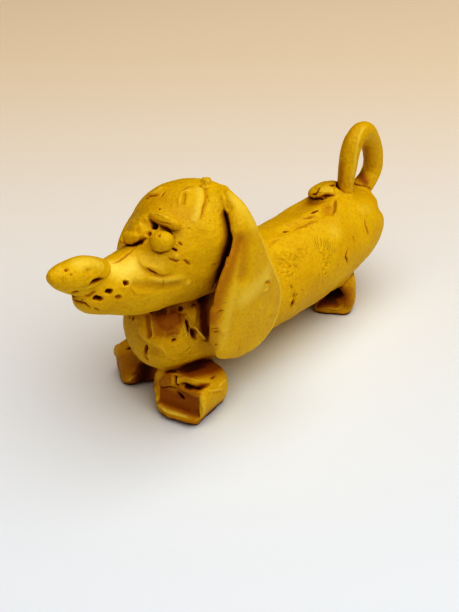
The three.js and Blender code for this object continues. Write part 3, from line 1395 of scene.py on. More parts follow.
    def sockets(self) -> list[Mark]:
        """Gives the hollows and creases round the eyes and brows."""
        return [
            Pit("between the brows", [(1.6, -8.0, 6.9), (2.2, -8.1, 6.3)], wide=0.62, deep=1.3, lip=0.0,
                stain_and_shade=1.0),
            # Painted shadow under the left brow.
            Groove("under the left brow", [(2.8, -7.7, 6.5), (3.8, -7.3, 6.1), (4.6, -7.0, 5.7),
                   (4.9, -6.7, 5.6)], deep=0.45, ends=0.2, stain_and_shade=0.85),
            Groove("behind the left eye", [(4.9, -6.7, 5.6), (5.2, -7.2, 4.9), (5.4, -7.7, 4.1)], wide=0.28,
                   deep=0.3, stain_and_shade=0.6),
            Groove("under the left eye", [(3.3, -10.1, 3.9), (3.9, -9.9, 3.6), (4.6, -9.3, 3.5),
                   (5.1, -8.6, 3.8), (5.2, -7.8, 4.3)], wide=0.34, deep=0.35, lip=0.05, stain_and_shade=0.7),
            # Painted shadow under the right eye.
            Groove("under the right eye", [(-3.1, -10.1, 2.3), (-0.7, -10.8, 3.3), (0.9, -10.7, 4.1),
                   (2.2, -9.8, 5.0)], wide=0.7, deep=0.7, ends=0.2, stain_and_shade=1.0),
            Groove("beside the right eye", [(2.2, -9.6, 5.3), (2.1, -9.0, 5.9)], wide=0.35, deep=0.5,
                   stain_and_shade=0.9),
            Dent("beside the snout", [(-3.6, -10.2, 2.2)], wide=2.4, deep=0.45),
            Groove("dash", [(5.6, -6.8, 4.7), (6.2, -6.5, 4.1)], wide=0.24, deep=0.25, lip=0.05, stain_and_shade=0.6),
            Pit("small hole", [(5.7, -7.9, 3.7), (5.9, -7.6, 3.5)], wide=0.26, deep=0.35, stain_and_shade=0.8),
            Dent("bead of clay", [(6.1, -7.8, 2.6)], wide=0.8, deep=-0.3, pale=0.3),
            Groove("under the bead", [(5.4, -8.7, 2.8), (5.8, -8.5, 2.4), (6.3, -8.1, 2.0),
                   (6.6, -7.4, 2.1)], wide=0.3, deep=0.25, lip=0.04, stain_and_shade=0.55),
            Groove("temple crack", [(6.8, -7.1, 2.0), (7.1, -6.5, 1.6), (7.4, -6.2, 0.9)], wide=0.26,
                   deep=0.25, lip=0.04, stain_and_shade=0.6),
        ]

    def cheek(self) -> list[Mark]:
        """Gives the flattened cheek plate and the folds under it."""
        return [
            Flap("cheek plate", [(6.3, -8.5, 0.3), (5.6, -9.7, 0.0), (4.9, -10.7, 0.3), (4.1, -11.7, 1.0),
                 (3.1, -12.3, 1.8), (2.2, -12.0, 2.5)], wide=1.8, high=0.22, edge=0.35, under=0.14,
                 ends=0.35, stain_and_shade=0.3),
            Groove("cheek cut", [(3.5, -11.9, 1.4), (4.2, -11.2, 0.9), (5.1, -10.4, 0.4)], wide=0.28,
                   deep=0.2, stain_and_shade=0.8),
            Dent("cheek plane", [(3.2, -11.0, 2.5), (4.9, -10.0, 1.9)], wide=1.9, deep=0.1, pale=0.3),
            Ridge("cheek lip", [(3.6, -11.8, 1.6), (4.3, -10.8, 1.4), (5.3, -10.0, 0.9)], wide=0.4,
                  high=0.14),
            Ridge("lip fold", [(4.4, -12.2, 0.0), (5.3, -10.5, -0.6), (6.4, -8.4, -0.7), (7.1, -6.9, -1.0)],
                  wide=0.75, high=0.32, pale=0.4),
            Dent("below the lip fold", [(4.1, -14.1, -0.4), (4.7, -12.4, -1.1), (5.6, -10.1, -1.7),
                 (6.4, -8.2, -1.7)], wide=1.2, stain_and_shade=0.22),
            Dent("lip bead", [(7.1, -6.5, -2.0)], wide=0.8, deep=-0.2, pale=0.4),
            Groove("lip cut", [(5.5, -10.0, -0.2), (5.6, -10.1, -1.1), (5.6, -10.1, -2.3)], wide=0.25,
                   deep=0.15, stain_and_shade=0.35),
            Groove("jaw line", [(3.9, -15.1, -0.4), (4.1, -14.8, -1.2), (4.3, -14.5, -2.1)], wide=0.3,
                   deep=0.15, stain_and_shade=0.3),
            Dent("jaw notch", [(3.6, -8.0, -7.2), (3.8, -7.0, -7.3)], wide=1.2, deep=0.5),
        ]

    def snout(self) -> list[Mark]:
        """Gives the drawn-out planes of the snout, with painted highlights on its top and side."""
        return [
            Groove("snout crease", [(0.4, -15.9, 2.4), (0.9, -14.2, 2.6), (0.8, -11.9, 3.0),
                   (0.7, -11.2, 3.4)], wide=0.32, deep=0.2, lip=0.06, stain_and_shade=0.5),
            # Painted highlight on the top of the snout and on its side.
            Dent("snout plane", [(1.2, -16.0, 2.2), (2.4, -15.0, 1.9), (2.6, -13.4, 2.0)], wide=2.3,
                 deep=0.12, pale=0.9),
            Dent("snout side", [(3.4, -15.0, 0.8), (3.6, -13.0, 0.9)], wide=1.6, deep=0.0, pale=0.45),
        ]

    def whiskers(self) -> list[Mark]:
        """Gives the holes poked for whiskers."""
        holes = {
            "rear": ((3.4, -15.7, 0.35), (3.6, -15.3, 0.25), 0.42, 0.9),
            "middle": ((2.7, -18.4, 0.15), (2.9, -18.0, 0.0), 0.48, 1.0),
            "front": ((2.4, -20.1, -0.55), (2.6, -19.7, -0.8), 0.48, 1.0),
            "lower": ((3.5, -17.2, -1.2), (3.6, -16.9, -1.4), 0.38, 0.55),
            "tip": ((-0.6, -21.7, -0.1), (-0.4, -21.7, -0.3), 0.4, 1.0),
        }
        return [
            Pit(f"{name} whisker", [start, end], wide=wide, deep=0.8 * stain_and_shade, stain_and_shade=stain_and_shade * 0.85,
                wander=0.3)
            for name, (start, end, wide, stain_and_shade) in holes.items()
        ]

    def mouth(self) -> list[Mark]:
        """Gives the creases below the nose and along the lower lip."""
        return [
            Groove("second crease", [(1.1, -21.4, -0.1), (1.6, -20.6, 0.2), (1.9, -19.7, 0.5)], wide=0.4,
                   deep=0.3, lip=0.08, stain_and_shade=0.55),
            Groove("lip crease", [(-0.7, -21.8, -1.0), (0.7, -21.8, -0.9), (1.5, -21.5, -1.3),
                   (1.8, -21.0, -2.0)], wide=0.35, deep=0.35, lip=0.1, stain_and_shade=0.7),
            Groove("chin scratch", [(2.2, -20.6, -1.8), (2.3, -19.9, -2.8)], wide=0.3, deep=0.25, lip=0.05,
                   stain_and_shade=0.5),
            Groove("tip scratch", [(0.9, -21.6, -0.4), (1.3, -21.4, -0.6)], wide=0.2, deep=0.2, stain_and_shade=0.5),
        ]

    def nose(self) -> Marks:
        """Gives the pinches at the end of the nose, and a painted highlight on its top."""
        return [
            Swells(3.0, 0.1, 21), Swells(1.0, 0.03, 22),
            # Painted highlight on the top of the nose.
            Dent("light on the nose", [(0.9, -21.6, 5.4), (1.2, -19.8, 5.0), (1.6, -18.4, 4.2)], wide=1.7,
                 deep=-0.05, pale=0.6),
            Pit("lip hole", [(1.8, -23.4, 1.5), (2.0, -23.0, 1.3)], wide=0.45, deep=0.8, stain_and_shade=1.0,
                wander=0.25),
            Pit("nose nick", [(1.1, -23.9, 5.3)], wide=0.32, deep=0.35, stain_and_shade=0.6),
            Dent("nose bead", [(0.2, -24.5, 5.6)], wide=0.8, deep=-0.22, pale=0.2),
            Ridge("nose nail mark", [(1.4, -24.2, 5.2), (1.5, -24.6, 4.6), (1.4, -24.9, 4.0)], wide=0.35,
                  high=0.2),
            Groove("nose cut", [(1.8, -23.6, 4.8), (1.8, -23.6, 4.4)], wide=0.24, deep=0.25, stain_and_shade=0.5),
            Dent("nose dimple", [(2.3, -20.9, 4.3)], wide=0.8, deep=0.18, stain_and_shade=0.2),
            Dent("under the nose", [(2.2, -22.6, 1.4), (2.4, -20.6, 1.0), (2.2, -18.8, 1.0)], wide=1.5,
                 deep=0.35),
            Groove("nose crease", [(2.6, -21.6, 2.0), (2.8, -20.8, 2.4), (2.7, -19.9, 2.3),
                   (2.4, -18.4, 2.0)], deep=0.6, lip=0.06, stain_and_shade=0.95),
            Ridge("fold under the nose", [(2.4, -22.2, 1.3), (2.7, -21.0, 1.6), (2.7, -19.8, 1.5)], wide=0.4,
                  high=0.16, pale=0.2),
        ]


@dataclass(frozen=True)
class Face:
    """The pressed-on eyes and brows. Grains are in millimetres."""

    grain: float = 0.08

    def lumps(self) -> list[Lump]:
        """Gives the eyes and brows."""
        marks = {
            "left_eye": self.left_eye(),
            "right_eye": self.right_eye(),
            "left_brow": self.left_brow(),
            "right_brow": self.right_brow(),
        }
        return [Lump(name, Frame.HEAD, self.grain, own) for name, own in marks.items()]

    def left_eye(self) -> Marks:
        """Gives the left eye's marks."""
        return [Swells(1.6, 0.08, 31), Pit("eye dimple", [(4.5, -9.6, 6.3)], wide=0.38, deep=0.22,
                                           stain_and_shade=0.4)]

    def right_eye(self) -> Marks:
        """Gives the right eye's marks."""
        return [
            Swells(1.6, 0.08, 33),
            Dent("eye end", [(1.5, -10.1, 5.5)], wide=0.5, deep=-0.2),
            Dent("flat of the eye", [(-1.4, -10.8, 5.8), (-0.2, -10.8, 6.2), (1.0, -10.2, 6.4)], wide=1.2,
                 deep=0.5),
            Facet("below the eye", [(-0.9, -11.0, 3.75)], facing=(-0.25, -0.3, -0.92), wide=3.0, blend=0.12,
                  most=0.6),
            Ridge("tip of the eye", [(-0.9, -11.3, 4.2), (-1.7, -11.2, 3.8), (-2.3, -10.9, 3.4)], wide=0.8,
                  high=0.45),
        ]

    def left_brow(self) -> Marks:
        """Gives the left brow's marks."""
        return [
            Swells(1.3, 0.1, 35),
            Dent("right end of the brow", [(4.9, -6.8, 7.3), (5.4, -6.4, 6.9)], wide=1.2, deep=-0.4),
            Ridge("brow crest", [(1.1, -8.0, 8.1), (2.7, -7.5, 8.3), (4.3, -7.0, 7.9)], wide=0.3, high=0.14,
                  pale=0.3),
            Groove("brow line", [(2.6, -8.1, 7.7), (3.6, -7.9, 7.4), (4.8, -7.1, 7.3)], wide=0.2, deep=0.14,
                   lip=0.05, stain_and_shade=0.3),
        ]

    def right_brow(self) -> Marks:
        """Gives the right brow's marks."""
        return [
            Swells(1.3, 0.1, 37),
            Dent("left end of the brow", [(-2.1, -9.5, 5.7), (-1.6, -9.4, 6.6)], wide=1.4, deep=0.35),
            Dent("top of the brow", [(-1.0, -8.7, 7.2), (0.2, -8.0, 7.3)], wide=1.5),
            Groove("brow slit", [(-1.6, -9.6, 6.1), (-1.1, -9.5, 6.4), (-0.6, -9.2, 6.6), (0.1, -8.9, 6.8)],
                   wide=0.32, lip=0.05, stain_and_shade=0.9),
        ]


@dataclass(frozen=True)
class Ears:
    """The flat hanging ears. Grains are in millimetres."""

    grain: float = 0.13
    far_grain: float = 0.22

    def lumps(self) -> list[Lump]:
        """Gives both ears."""
        far = [Swells(5.0, 0.2, 43), Swells(1.6, 0.04, 44)]
        return [
            Lump("left_ear", Frame.HEAD, self.grain, [*self.form(), *self.nicks()]),
            Lump("right_ear", Frame.HEAD, self.far_grain, far),
        ]

    def form(self) -> Marks:
        """Gives the bend along the front of the left ear and its pressed rim, with painted shade along its
        front and over the gap, and painted highlights on its rim and top fold.
        """
        return [
            Swells(5.0, 0.14, 41), Swells(1.6, 0.03, 42), Swells(0.6, 0.01, 45),
            Dent("ear top", [(5.6, 2.4, 9.0), (6.4, 2.0, 8.7), (7.4, 1.6, 7.9)], wide=1.6, deep=0.6),
            Dent("ear tip", [(5.9, 3.4, 9.2)], wide=1.6, deep=-0.35),
            Dent("front edge", [(9.6, 0.4, 4.7), (10.4, -0.8, 3.3), (10.8, -2.0, 1.6), (10.9, -3.4, -0.7),
                 (10.9, -4.6, -3.4), (10.8, -5.1, -6.0)], wide=2.2, deep=0.05),
            # Painted shadow along the edge over the gap.
            Dent("edge over the gap", [(8.0, 1.2, 6.8), (9.2, 0.5, 5.2), (10.0, -0.6, 3.6),
                 (10.5, -1.7, 1.9), (10.7, -2.9, 0.0), (10.6, -4.2, -2.2)], wide=0.45, deep=0.0, level=1.5,
                 stain_and_shade=0.8),
            Dent("lower front edge", [(10.8, -5.3, -6.4), (10.8, -5.5, -9.0), (10.7, -5.3, -12.0)], wide=1.6,
                 deep=-0.45),
            Ridge("front bend", [(12.1, -1.0, -1.7), (12.1, -2.2, -4.8), (11.9, -3.0, -7.9),
                  (11.5, -3.4, -11.6), (11.2, -3.6, -14.3)], wide=1.5, high=0.14, ends=0.25, pale=0.35),
            # Painted shade in the hollow behind the bend.
            Dent("hollow behind the bend", [(11.6, 1.1, 3.2), (12.0, 0.6, 0.6), (12.1, 0.2, -1.6)], wide=2.3,
                 deep=0.45, stain_and_shade=0.32),
            Dent("smear", [(12.2, 0.6, -5.6), (12.2, 2.6, -5.2), (12.0, 5.4, -4.2)], wide=2.9, deep=-0.1,
                 pale=0.6),
            Print("ear print", [(11.9, 2.6, -10.5)], wide=3.4, strong=0.3, whorl=(0.0, 2.0, 4.0)),
            # Painted highlight along the rim.
            Ridge("rim", [(10.9, 4.4, 4.6), (11.4, 5.3, 2.3), (11.6, 6.6, -1.4), (11.5, 8.7, -5.4),
                  (10.8, 10.7, -9.3), (10.9, 11.0, -11.8), (10.8, 10.8, -14.4), (10.6, 9.4, -16.4),
                  (10.5, 6.9, -17.8), (10.5, 3.6, -18.6)], wide=0.42, high=0.2, ends=0.1, pale=0.8),
            # Painted highlight along the top of the fold.
            Dent("light on the fold", [(8.0, 3.6, 8.8), (9.6, 3.8, 7.4), (10.8, 4.2, 5.4)], wide=2.3,
                 deep=-0.05, pale=0.5),
            # Painted shade along the front band, which faces away from the lamp.
            Dent("warm band", [(11.1, 0.6, 3.9), (11.4, -0.8, 2.2), (11.5, -2.2, 0.2), (11.5, -3.5, -2.0),
                 (11.4, -4.7, -4.4), (11.2, -5.2, -7.5)], wide=2.3, deep=0.1, stain_and_shade=0.44),
        ]

    def nicks(self) -> list[Mark]:
        """Gives the nail cuts and small marks on the left ear."""
        cuts = {
            "upper": ((11.5, -5.0, -6.3), (11.9, -3.6, -6.2), 0.5),
            "middle": ((11.0, -5.4, -9.0), (11.5, -4.6, -9.1), 0.6),
            "lower": ((11.0, -5.4, -9.7), (11.4, -4.5, -9.8), 0.8),
            "lowest": ((11.0, -5.0, -12.1), (11.2, -4.5, -12.6), 0.4),
        }
        return [
            *[Groove(f"{name} ear cut", [start, end], wide=0.24, deep=0.3, lip=0.08, ends=0.4, stain_and_shade=stain_and_shade)
              for name, (start, end, stain_and_shade) in cuts.items()],
            Dent("ear bead", [(11.5, -4.6, -8.2), (11.6, -3.6, -10.6)], wide=0.8, deep=-0.22, pale=0.2),
            Groove("crescent", [(12.2, 4.8, -5.5), (12.1, 5.9, -5.4), (11.9, 7.1, -6.1)], wide=0.4, deep=0.3,
                   lip=0.08, stain_and_shade=0.4),
            Dent("crescent bead", [(12.1, 5.3, -6.6), (12.0, 6.2, -6.7)], wide=0.5, deep=-0.2, pale=0.5),
            Ridge("small bump", [(12.0, 4.4, -9.8), (11.9, 5.3, -10.0)], wide=0.45, high=0.16, pale=0.3),
            Pit("ear dot", [(11.4, 8.2, -13.1)], wide=0.22, deep=0.2, stain_and_shade=0.5),
            Dent("lower band", [(11.1, -4.9, -7.5), (11.2, -4.9, -10.5), (11.0, -4.7, -13.5)], wide=1.1,
                 deep=0.05, stain_and_shade=0.3),
            Groove("streak", [(11.7, 0.9, -13.5), (11.5, 0.5, -15.1), (11.0, 0.6, -17.0)], wide=0.4,
                   deep=0.12, stain_and_shade=0.25),
        ]


@dataclass(frozen=True)
class Body:
    """The rolled body with the pinched chest. The grain is in millimetres."""

    grain: float = 0.28
    finer: tuple[tuple[Point, Point], ...] = (
        ((-4.0, -32.0, 10.5), (9.0, -22.0, 22.0)),
        ((1.5, -5.5, 12.0), (12.0, 24.0, 24.0)),
        ((-1.5, 3.0, 20.0), (3.0, 19.0, 24.0)),
    )

    def lumps(self) -> list[Lump]:
        """Gives the body."""
        marks = [*self.swells(), *self.chest(), *self.chest_cuts(), *self.back(), *self.side(), *self.rump()]
        return [Lump("body", Frame.DOG, self.grain, marks, self.finer)]

    def swells(self) -> list[Swells]:
        """Gives the slow unevenness of the roll."""
        return [Swells(7.0, 0.22, 51), Swells(2.6, 0.09, 52), Swells(1.0, 0.03, 53), Swells(0.6, 0.012, 54)]

    def chest(self) -> list[Mark]:
        """Gives the hollow pressed under the chin, with painted shade under the snout and jaw and behind the
        ear, and the folds round it.
        """
        return [
            # Painted shade under the snout and jaw, in and round the hollow.
            Dent("chin hollow", [(3.2, -28.8, 19.6), (4.2, -28.6, 18.4), (4.8, -27.1, 19.3)], wide=2.7,
                 deep=0.6, level=1.4, stain_and_shade=0.54),
            Dent("foot of the hollow", [(3.6, -29.7, 17.4), (5.2, -28.5, 17.3)], wide=1.9, level=1.2,
                 stain_and_shade=0.42),
            Dent("left of the hollow", [(2.6, -29.1, 19.5), (3.1, -29.8, 18.1), (3.5, -30.0, 17.0)],
                 wide=1.1, deep=0.1, level=1.4, stain_and_shade=0.4),
            Dent("right of the hollow", [(4.9, -26.5, 19.6), (5.5, -27.2, 18.3), (5.8, -27.7, 17.3)],
                 wide=1.0, deep=0.0, level=1.3, stain_and_shade=0.4),
            Dent("under the jaw", [(4.6, -25.5, 20.2)], wide=0.5, deep=0.4, stain_and_shade=1.0),
            # Painted highlight along the edge of the hollow.
            Ridge("edge of the hollow", [(1.3, -29.2, 19.8), (2.0, -29.8, 18.9), (2.5, -30.2, 17.5),
                  (2.9, -30.4, 16.4)], wide=0.26, high=0.22, ends=0.1, pale=0.5, wander=0.05),
            Dent("beside the edge", [(1.0, -29.8, 19.1), (1.7, -30.3, 17.6), (2.2, -30.5, 16.4)], wide=0.75,
                 level=1.5, stain_and_shade=0.45),
            Ridge("edge of the plate", [(-0.9, -30.3, 18.6), (-0.2, -30.5, 17.5), (0.7, -30.6, 16.4),
                  (1.8, -30.7, 15.6), (2.9, -30.5, 15.2)], wide=0.7, high=0.25, pale=0.4),
            Ridge("left fold", [(0.1, -30.5, 17.4), (1.1, -30.6, 16.1), (2.8, -30.4, 15.7),
                  (3.9, -30.1, 15.9)], wide=0.9),
            # Painted highlights on the strings and the loose end.
            Ridge("string", [(5.1, -26.1, 19.7), (6.0, -26.5, 18.1), (6.5, -26.6, 16.9), (6.8, -26.4, 16.0)],
                  wide=0.34, high=0.5, ends=0.15, pale=0.6, wander=0.06),
            Groove("beside the string", [(5.9, -25.7, 18.9), (6.4, -25.9, 17.8), (6.9, -26.0, 16.6)],
                   wide=0.3, deep=0.6, ends=0.2, stain_and_shade=1.0, wander=0.06),
            Ridge("second string", [(5.4, -25.6, 19.5), (6.1, -25.5, 18.5), (6.6, -25.5, 17.6),
                  (6.9, -25.3, 17.1)], wide=0.3, high=0.5, ends=0.15, pale=0.55, wander=0.06),
            Groove("pocket", [(6.7, -25.5, 17.6), (7.0, -25.3, 16.6), (7.4, -25.2, 15.7),
                   (7.5, -24.8, 15.1)], wide=0.7, deep=0.8, ends=0.45, stain_and_shade=1.0),
            Ridge("loose end", [(6.9, -24.9, 17.5), (7.3, -24.6, 16.6), (7.6, -24.1, 15.8),
                  (7.8, -23.5, 14.9), (8.0, -22.9, 14.9)], wide=0.34, high=0.9, ends=0.12, pale=0.8,
                  wander=0.05),
            Ridge("neck fold", [(5.4, -23.4, 20.3), (6.2, -24.2, 19.0), (6.8, -24.6, 17.8)], wide=0.7,
                  high=0.4),
            # Painted shadow of the ear on the neck.
            Dent("behind the neck fold", [(5.7, -21.4, 20.6), (6.9, -22.2, 18.7), (7.6, -22.8, 17.0),
                 (8.0, -22.7, 15.2)], wide=1.5, deep=0.6, level=1.25, stain_and_shade=0.72),
            Ridge("lobe", [(2.8, -30.5, 15.0), (4.2, -30.1, 15.0), (4.7, -29.9, 14.4), (5.0, -29.5, 13.1)],
                  high=0.2, pale=0.2),
            Groove("lobe crease", [(6.8, -26.9, 13.2), (7.2, -26.1, 14.4)], wide=0.45, deep=0.15,
                   stain_and_shade=0.25),
        ]

    def chest_cuts(self) -> list[Mark]:
        """Gives the nail cuts and cracks on the chest."""
        return [
            Ridge("nail lip", [(5.0, -29.1, 16.4), (5.5, -28.6, 16.8), (6.0, -27.9, 16.9),
                  (6.4, -27.3, 16.6)], wide=0.34, high=0.5, pale=0.6),
            Groove("nail cut", [(5.5, -28.9, 15.8), (5.9, -28.5, 16.0), (6.1, -28.0, 16.1)], wide=0.35,
                   deep=0.45, stain_and_shade=0.9),
            Groove("chest crack", [(1.7, -30.6, 14.3), (1.4, -30.6, 13.1), (1.2, -30.6, 12.2)], deep=0.9,
                   lip=0.06, ends=0.2, stain_and_shade=1.0),
            Pit("chest dot", [(1.2, -30.5, 11.7), (1.5, -30.5, 11.4)], wide=0.28, deep=0.35, stain_and_shade=0.8),
            Pit("near pin hole", [(-1.7, -30.3, 17.9), (-1.7, -30.3, 17.6)], wide=0.26, stain_and_shade=0.9),
            Pit("far pin hole", [(-2.6, -30.2, 17.5)], wide=0.22, deep=0.3, stain_and_shade=0.5),
            Crumble("chest grain", [(2.0, -30.3, 13.5), (6.0, -28.5, 12.5)], wide=2.5, high=0.06, stain_and_shade=0.2),
            Dent("chest plate", [(3.2, -30.4, 13.6)], wide=1.5, deep=0.16, level=1.5, stain_and_shade=0.25),
            Print("chest print", [(6.6, -27.6, 12.4)], wide=2.6, strong=0.5, whorl=(0.0, -2.0, 2.0)),
        ]

    def back(self) -> list[Mark]:
        """Gives the pressed places and folds along the back."""
        return [
            Facet("flat of the back", [(-0.6, 9.5, 22.2)], facing=(-0.25, 0.03, 1.0), wide=10.0, blend=0.15,
                  most=0.9),
            Dent("back plane edge", [(1.6, 2.6, 21.8), (2.2, 6.0, 21.9), (2.6, 9.6, 22.1),
                 (2.9, 12.4, 22.3)], wide=1.5, deep=0.35),
            Print("back print", [(-0.7, 9.0, 22.4)], wide=3.0, strong=0.5, whorl=(2.0, 4.0, 0.0)),
            Pit("back hole", [(1.9, 3.3, 21.8), (2.1, 3.7, 21.8)], wide=0.3, deep=0.6, lip=0.1, stain_and_shade=1.0),
            Groove("first line", [(0.7, 8.8, 22.3), (1.8, 9.4, 22.3), (2.3, 10.6, 22.3), (2.7, 11.6, 22.4)],
                   wide=0.3, deep=0.2, lip=0.06, stain_and_shade=0.5),
            Groove("back crack", [(1.7, 10.8, 22.5), (1.8, 11.9, 22.6), (1.9, 13.4, 22.7)], wide=0.36,
                   deep=0.55, lip=0.08, stain_and_shade=1.0),
            Groove("long line", [(2.7, 4.0, 21.7), (2.7, 5.8, 21.8), (3.0, 7.5, 21.9), (3.3, 9.4, 22.0),
                   (3.8, 11.7, 22.0)], wide=0.4, deep=0.3, lip=0.14, stain_and_shade=0.35),
            Groove("lower line", [(3.2, -2.8, 21.4), (2.6, -0.8, 21.5), (2.7, 0.8, 21.5)], deep=0.15,
                   lip=0.05, stain_and_shade=0.25),
            Groove("arc over the hole", [(0.0, 4.5, 22.0), (0.9, 5.4, 22.0), (2.3, 5.4, 21.8)], wide=0.3,
                   deep=0.14, lip=0.05, stain_and_shade=0.3),
            Groove("second arc", [(0.6, 6.6, 22.1), (1.8, 7.2, 22.0), (2.9, 6.6, 21.8)], wide=0.3, deep=0.12,
                   lip=0.05, stain_and_shade=0.2),
            Dent("thumb mark", [(2.4, 15.4, 22.8), (3.2, 14.2, 22.4)], wide=2.2, deep=0.75, stain_and_shade=0.3),
            Flap("edge of the thumb mark", [(4.4, 14.0, 22.0), (3.6, 16.0, 22.4), (1.9, 17.8, 22.9)],
                 wide=1.4, high=0.22, stain_and_shade=0.35),
            Groove("thumb line", [(2.0, 14.6, 22.7), (2.9, 15.4, 22.6), (3.1, 16.4, 22.5)], wide=0.25,
                   deep=0.12, lip=0.05, stain_and_shade=0.3),
        ]

    def side(self) -> list[Mark]:
        """Gives the cracks, pores and rough places on the left side."""
        pores = [(7.8, 7.5, 18.5), (8.3, 7.1, 17.6), (9.0, 6.8, 16.0), (9.4, 10.1, 14.9), (6.9, -4.4, 18.9),
                 (9.2, -0.3, 14.1), (8.0, 8.6, 18.4), (8.9, 4.4, 15.0)]
        return [
            *[Pit(f"pore {k}", [place], wide=0.2, deep=0.22, lip=0.02, stain_and_shade=0.45)
              for k, place in enumerate(pores)],
            Groove("side crack", [(9.2, -2.9, 13.6), (9.2, -3.1, 12.4), (9.2, -3.7, 12.0)], wide=0.34,
                   deep=0.5, lip=0.06, stain_and_shade=1.0),
            Groove("side nick", [(9.1, -2.3, 14.5), (9.1, -2.6, 13.9)], wide=0.25, deep=0.3, stain_and_shade=0.6),
            Groove("upper side nick", [(8.6, -3.2, 16.1), (8.9, -2.6, 15.3)], wide=0.22, deep=0.25,
                   stain_and_shade=0.5),
            Groove("rear crack", [(8.9, 13.9, 16.9), (9.2, 13.0, 15.9), (9.3, 12.7, 15.4),
                   (9.4, 13.4, 13.7)], wide=0.28, lip=0.05, stain_and_shade=0.85),
            Groove("rear nick", [(8.3, 15.8, 18.3), (8.8, 16.2, 17.0)], wide=0.22, deep=0.2, lip=0.03,
                   stain_and_shade=0.4),
            Crumble("front grain", [(5.6, -2.3, 20.1), (6.8, -0.9, 19.1), (7.5, -2.6, 18.1)], wide=2.6,
                    high=0.22, stain_and_shade=0.34),
            Crumble("middle grain", [(6.1, 2.6, 19.9), (6.6, 3.6, 19.4)], wide=1.8, high=0.18, stain_and_shade=0.28),
            Crumble("rear grain", [(8.2, 7.6, 18.0), (8.9, 7.5, 16.4), (9.2, 6.6, 15.0)], wide=2.4,
                    high=0.22, stain_and_shade=0.34),
            Crumble("under the ear", [(9.0, -1.6, 15.0), (9.2, -3.0, 12.6)], high=0.17, size=0.6,
                    stain_and_shade=0.45),
            Print("front print", [(5.9, -2.4, 19.8), (6.8, -0.9, 19.1)], wide=2.7, whorl=(0.0, -2.5, -1.5)),
            Print("middle print", [(6.7, 1.9, 19.3)], wide=1.5, strong=0.8, whorl=(0.0, 2.0, 1.0)),
            Print("rear print", [(8.5, 8.5, 17.3), (7.2, 7.6, 19.2)], wide=2.9, whorl=(0.0, 3.0, 0.0)),
            Print("lower print", [(9.3, 3.5, 14.0)], wide=2.6, strong=0.6, whorl=(0.0, -2.0, 2.0)),
            Print("far side print", [(-8.6, 6.0, 16.0), (-8.0, 3.5, 18.0)], wide=3.4, strong=0.7,
                  whorl=(0.0, 3.0, -1.0)),
            Print("second far print", [(-8.6, -8.0, 15.0)], wide=2.8, strong=0.5, whorl=(0.0, -2.0, 2.0)),
            Dent("pale patch", [(6.8, 12.0, 20.1)], wide=2.2, deep=0.08, pale=0.4),
        ]

    def rump(self) -> list[Mark]:
        """Gives the crease of the rump and the rings where the tail was pressed on."""
        return [
            Groove("rump crease", [(7.0, 21.4, 19.7), (7.9, 20.7, 18.6), (8.4, 20.7, 17.3),
                   (8.9, 20.5, 15.8)], wide=0.36, deep=0.35, lip=0.06, stain_and_shade=0.55),
            Ridge("first ring", [(-0.5, 25.2, 22.6), (1.2, 25.4, 22.4), (2.6, 26.2, 21.9)], wide=0.3,
                  high=0.12),
            Ridge("second ring", [(-0.3, 26.2, 22.3), (1.6, 26.4, 22.1), (3.0, 27.4, 21.2)], wide=0.3,
                  high=0.12),
            Groove("rump line", [(2.2, 28.0, 21.6), (3.5, 28.3, 20.6), (5.1, 28.0, 19.2)], wide=0.3,
                   deep=0.15, stain_and_shade=0.25),
            Dent("rump corner", [(3.2, 29.2, 20.6), (4.0, 29.2, 19.6)], wide=1.6, deep=-0.22),
            Dent("rump hollow", [(5.6, 28.2, 18.9), (4.8, 29.4, 17.6)], wide=1.7, deep=0.22),
            Dent("rump swelling", [(7.4, 27.0, 16.4), (6.0, 29.0, 15.5)], wide=3.0, deep=-0.15),
            Dent("rump plate", [(6.0, 21.5, 20.8), (5.9, 23.7, 20.4)], wide=1.6, deep=-0.15, pale=0.25),
            Print("rump print", [(5.5, 22.5, 20.8)], wide=2.6, strong=0.45, whorl=(0.0, 3.0, 0.0)),
        ]


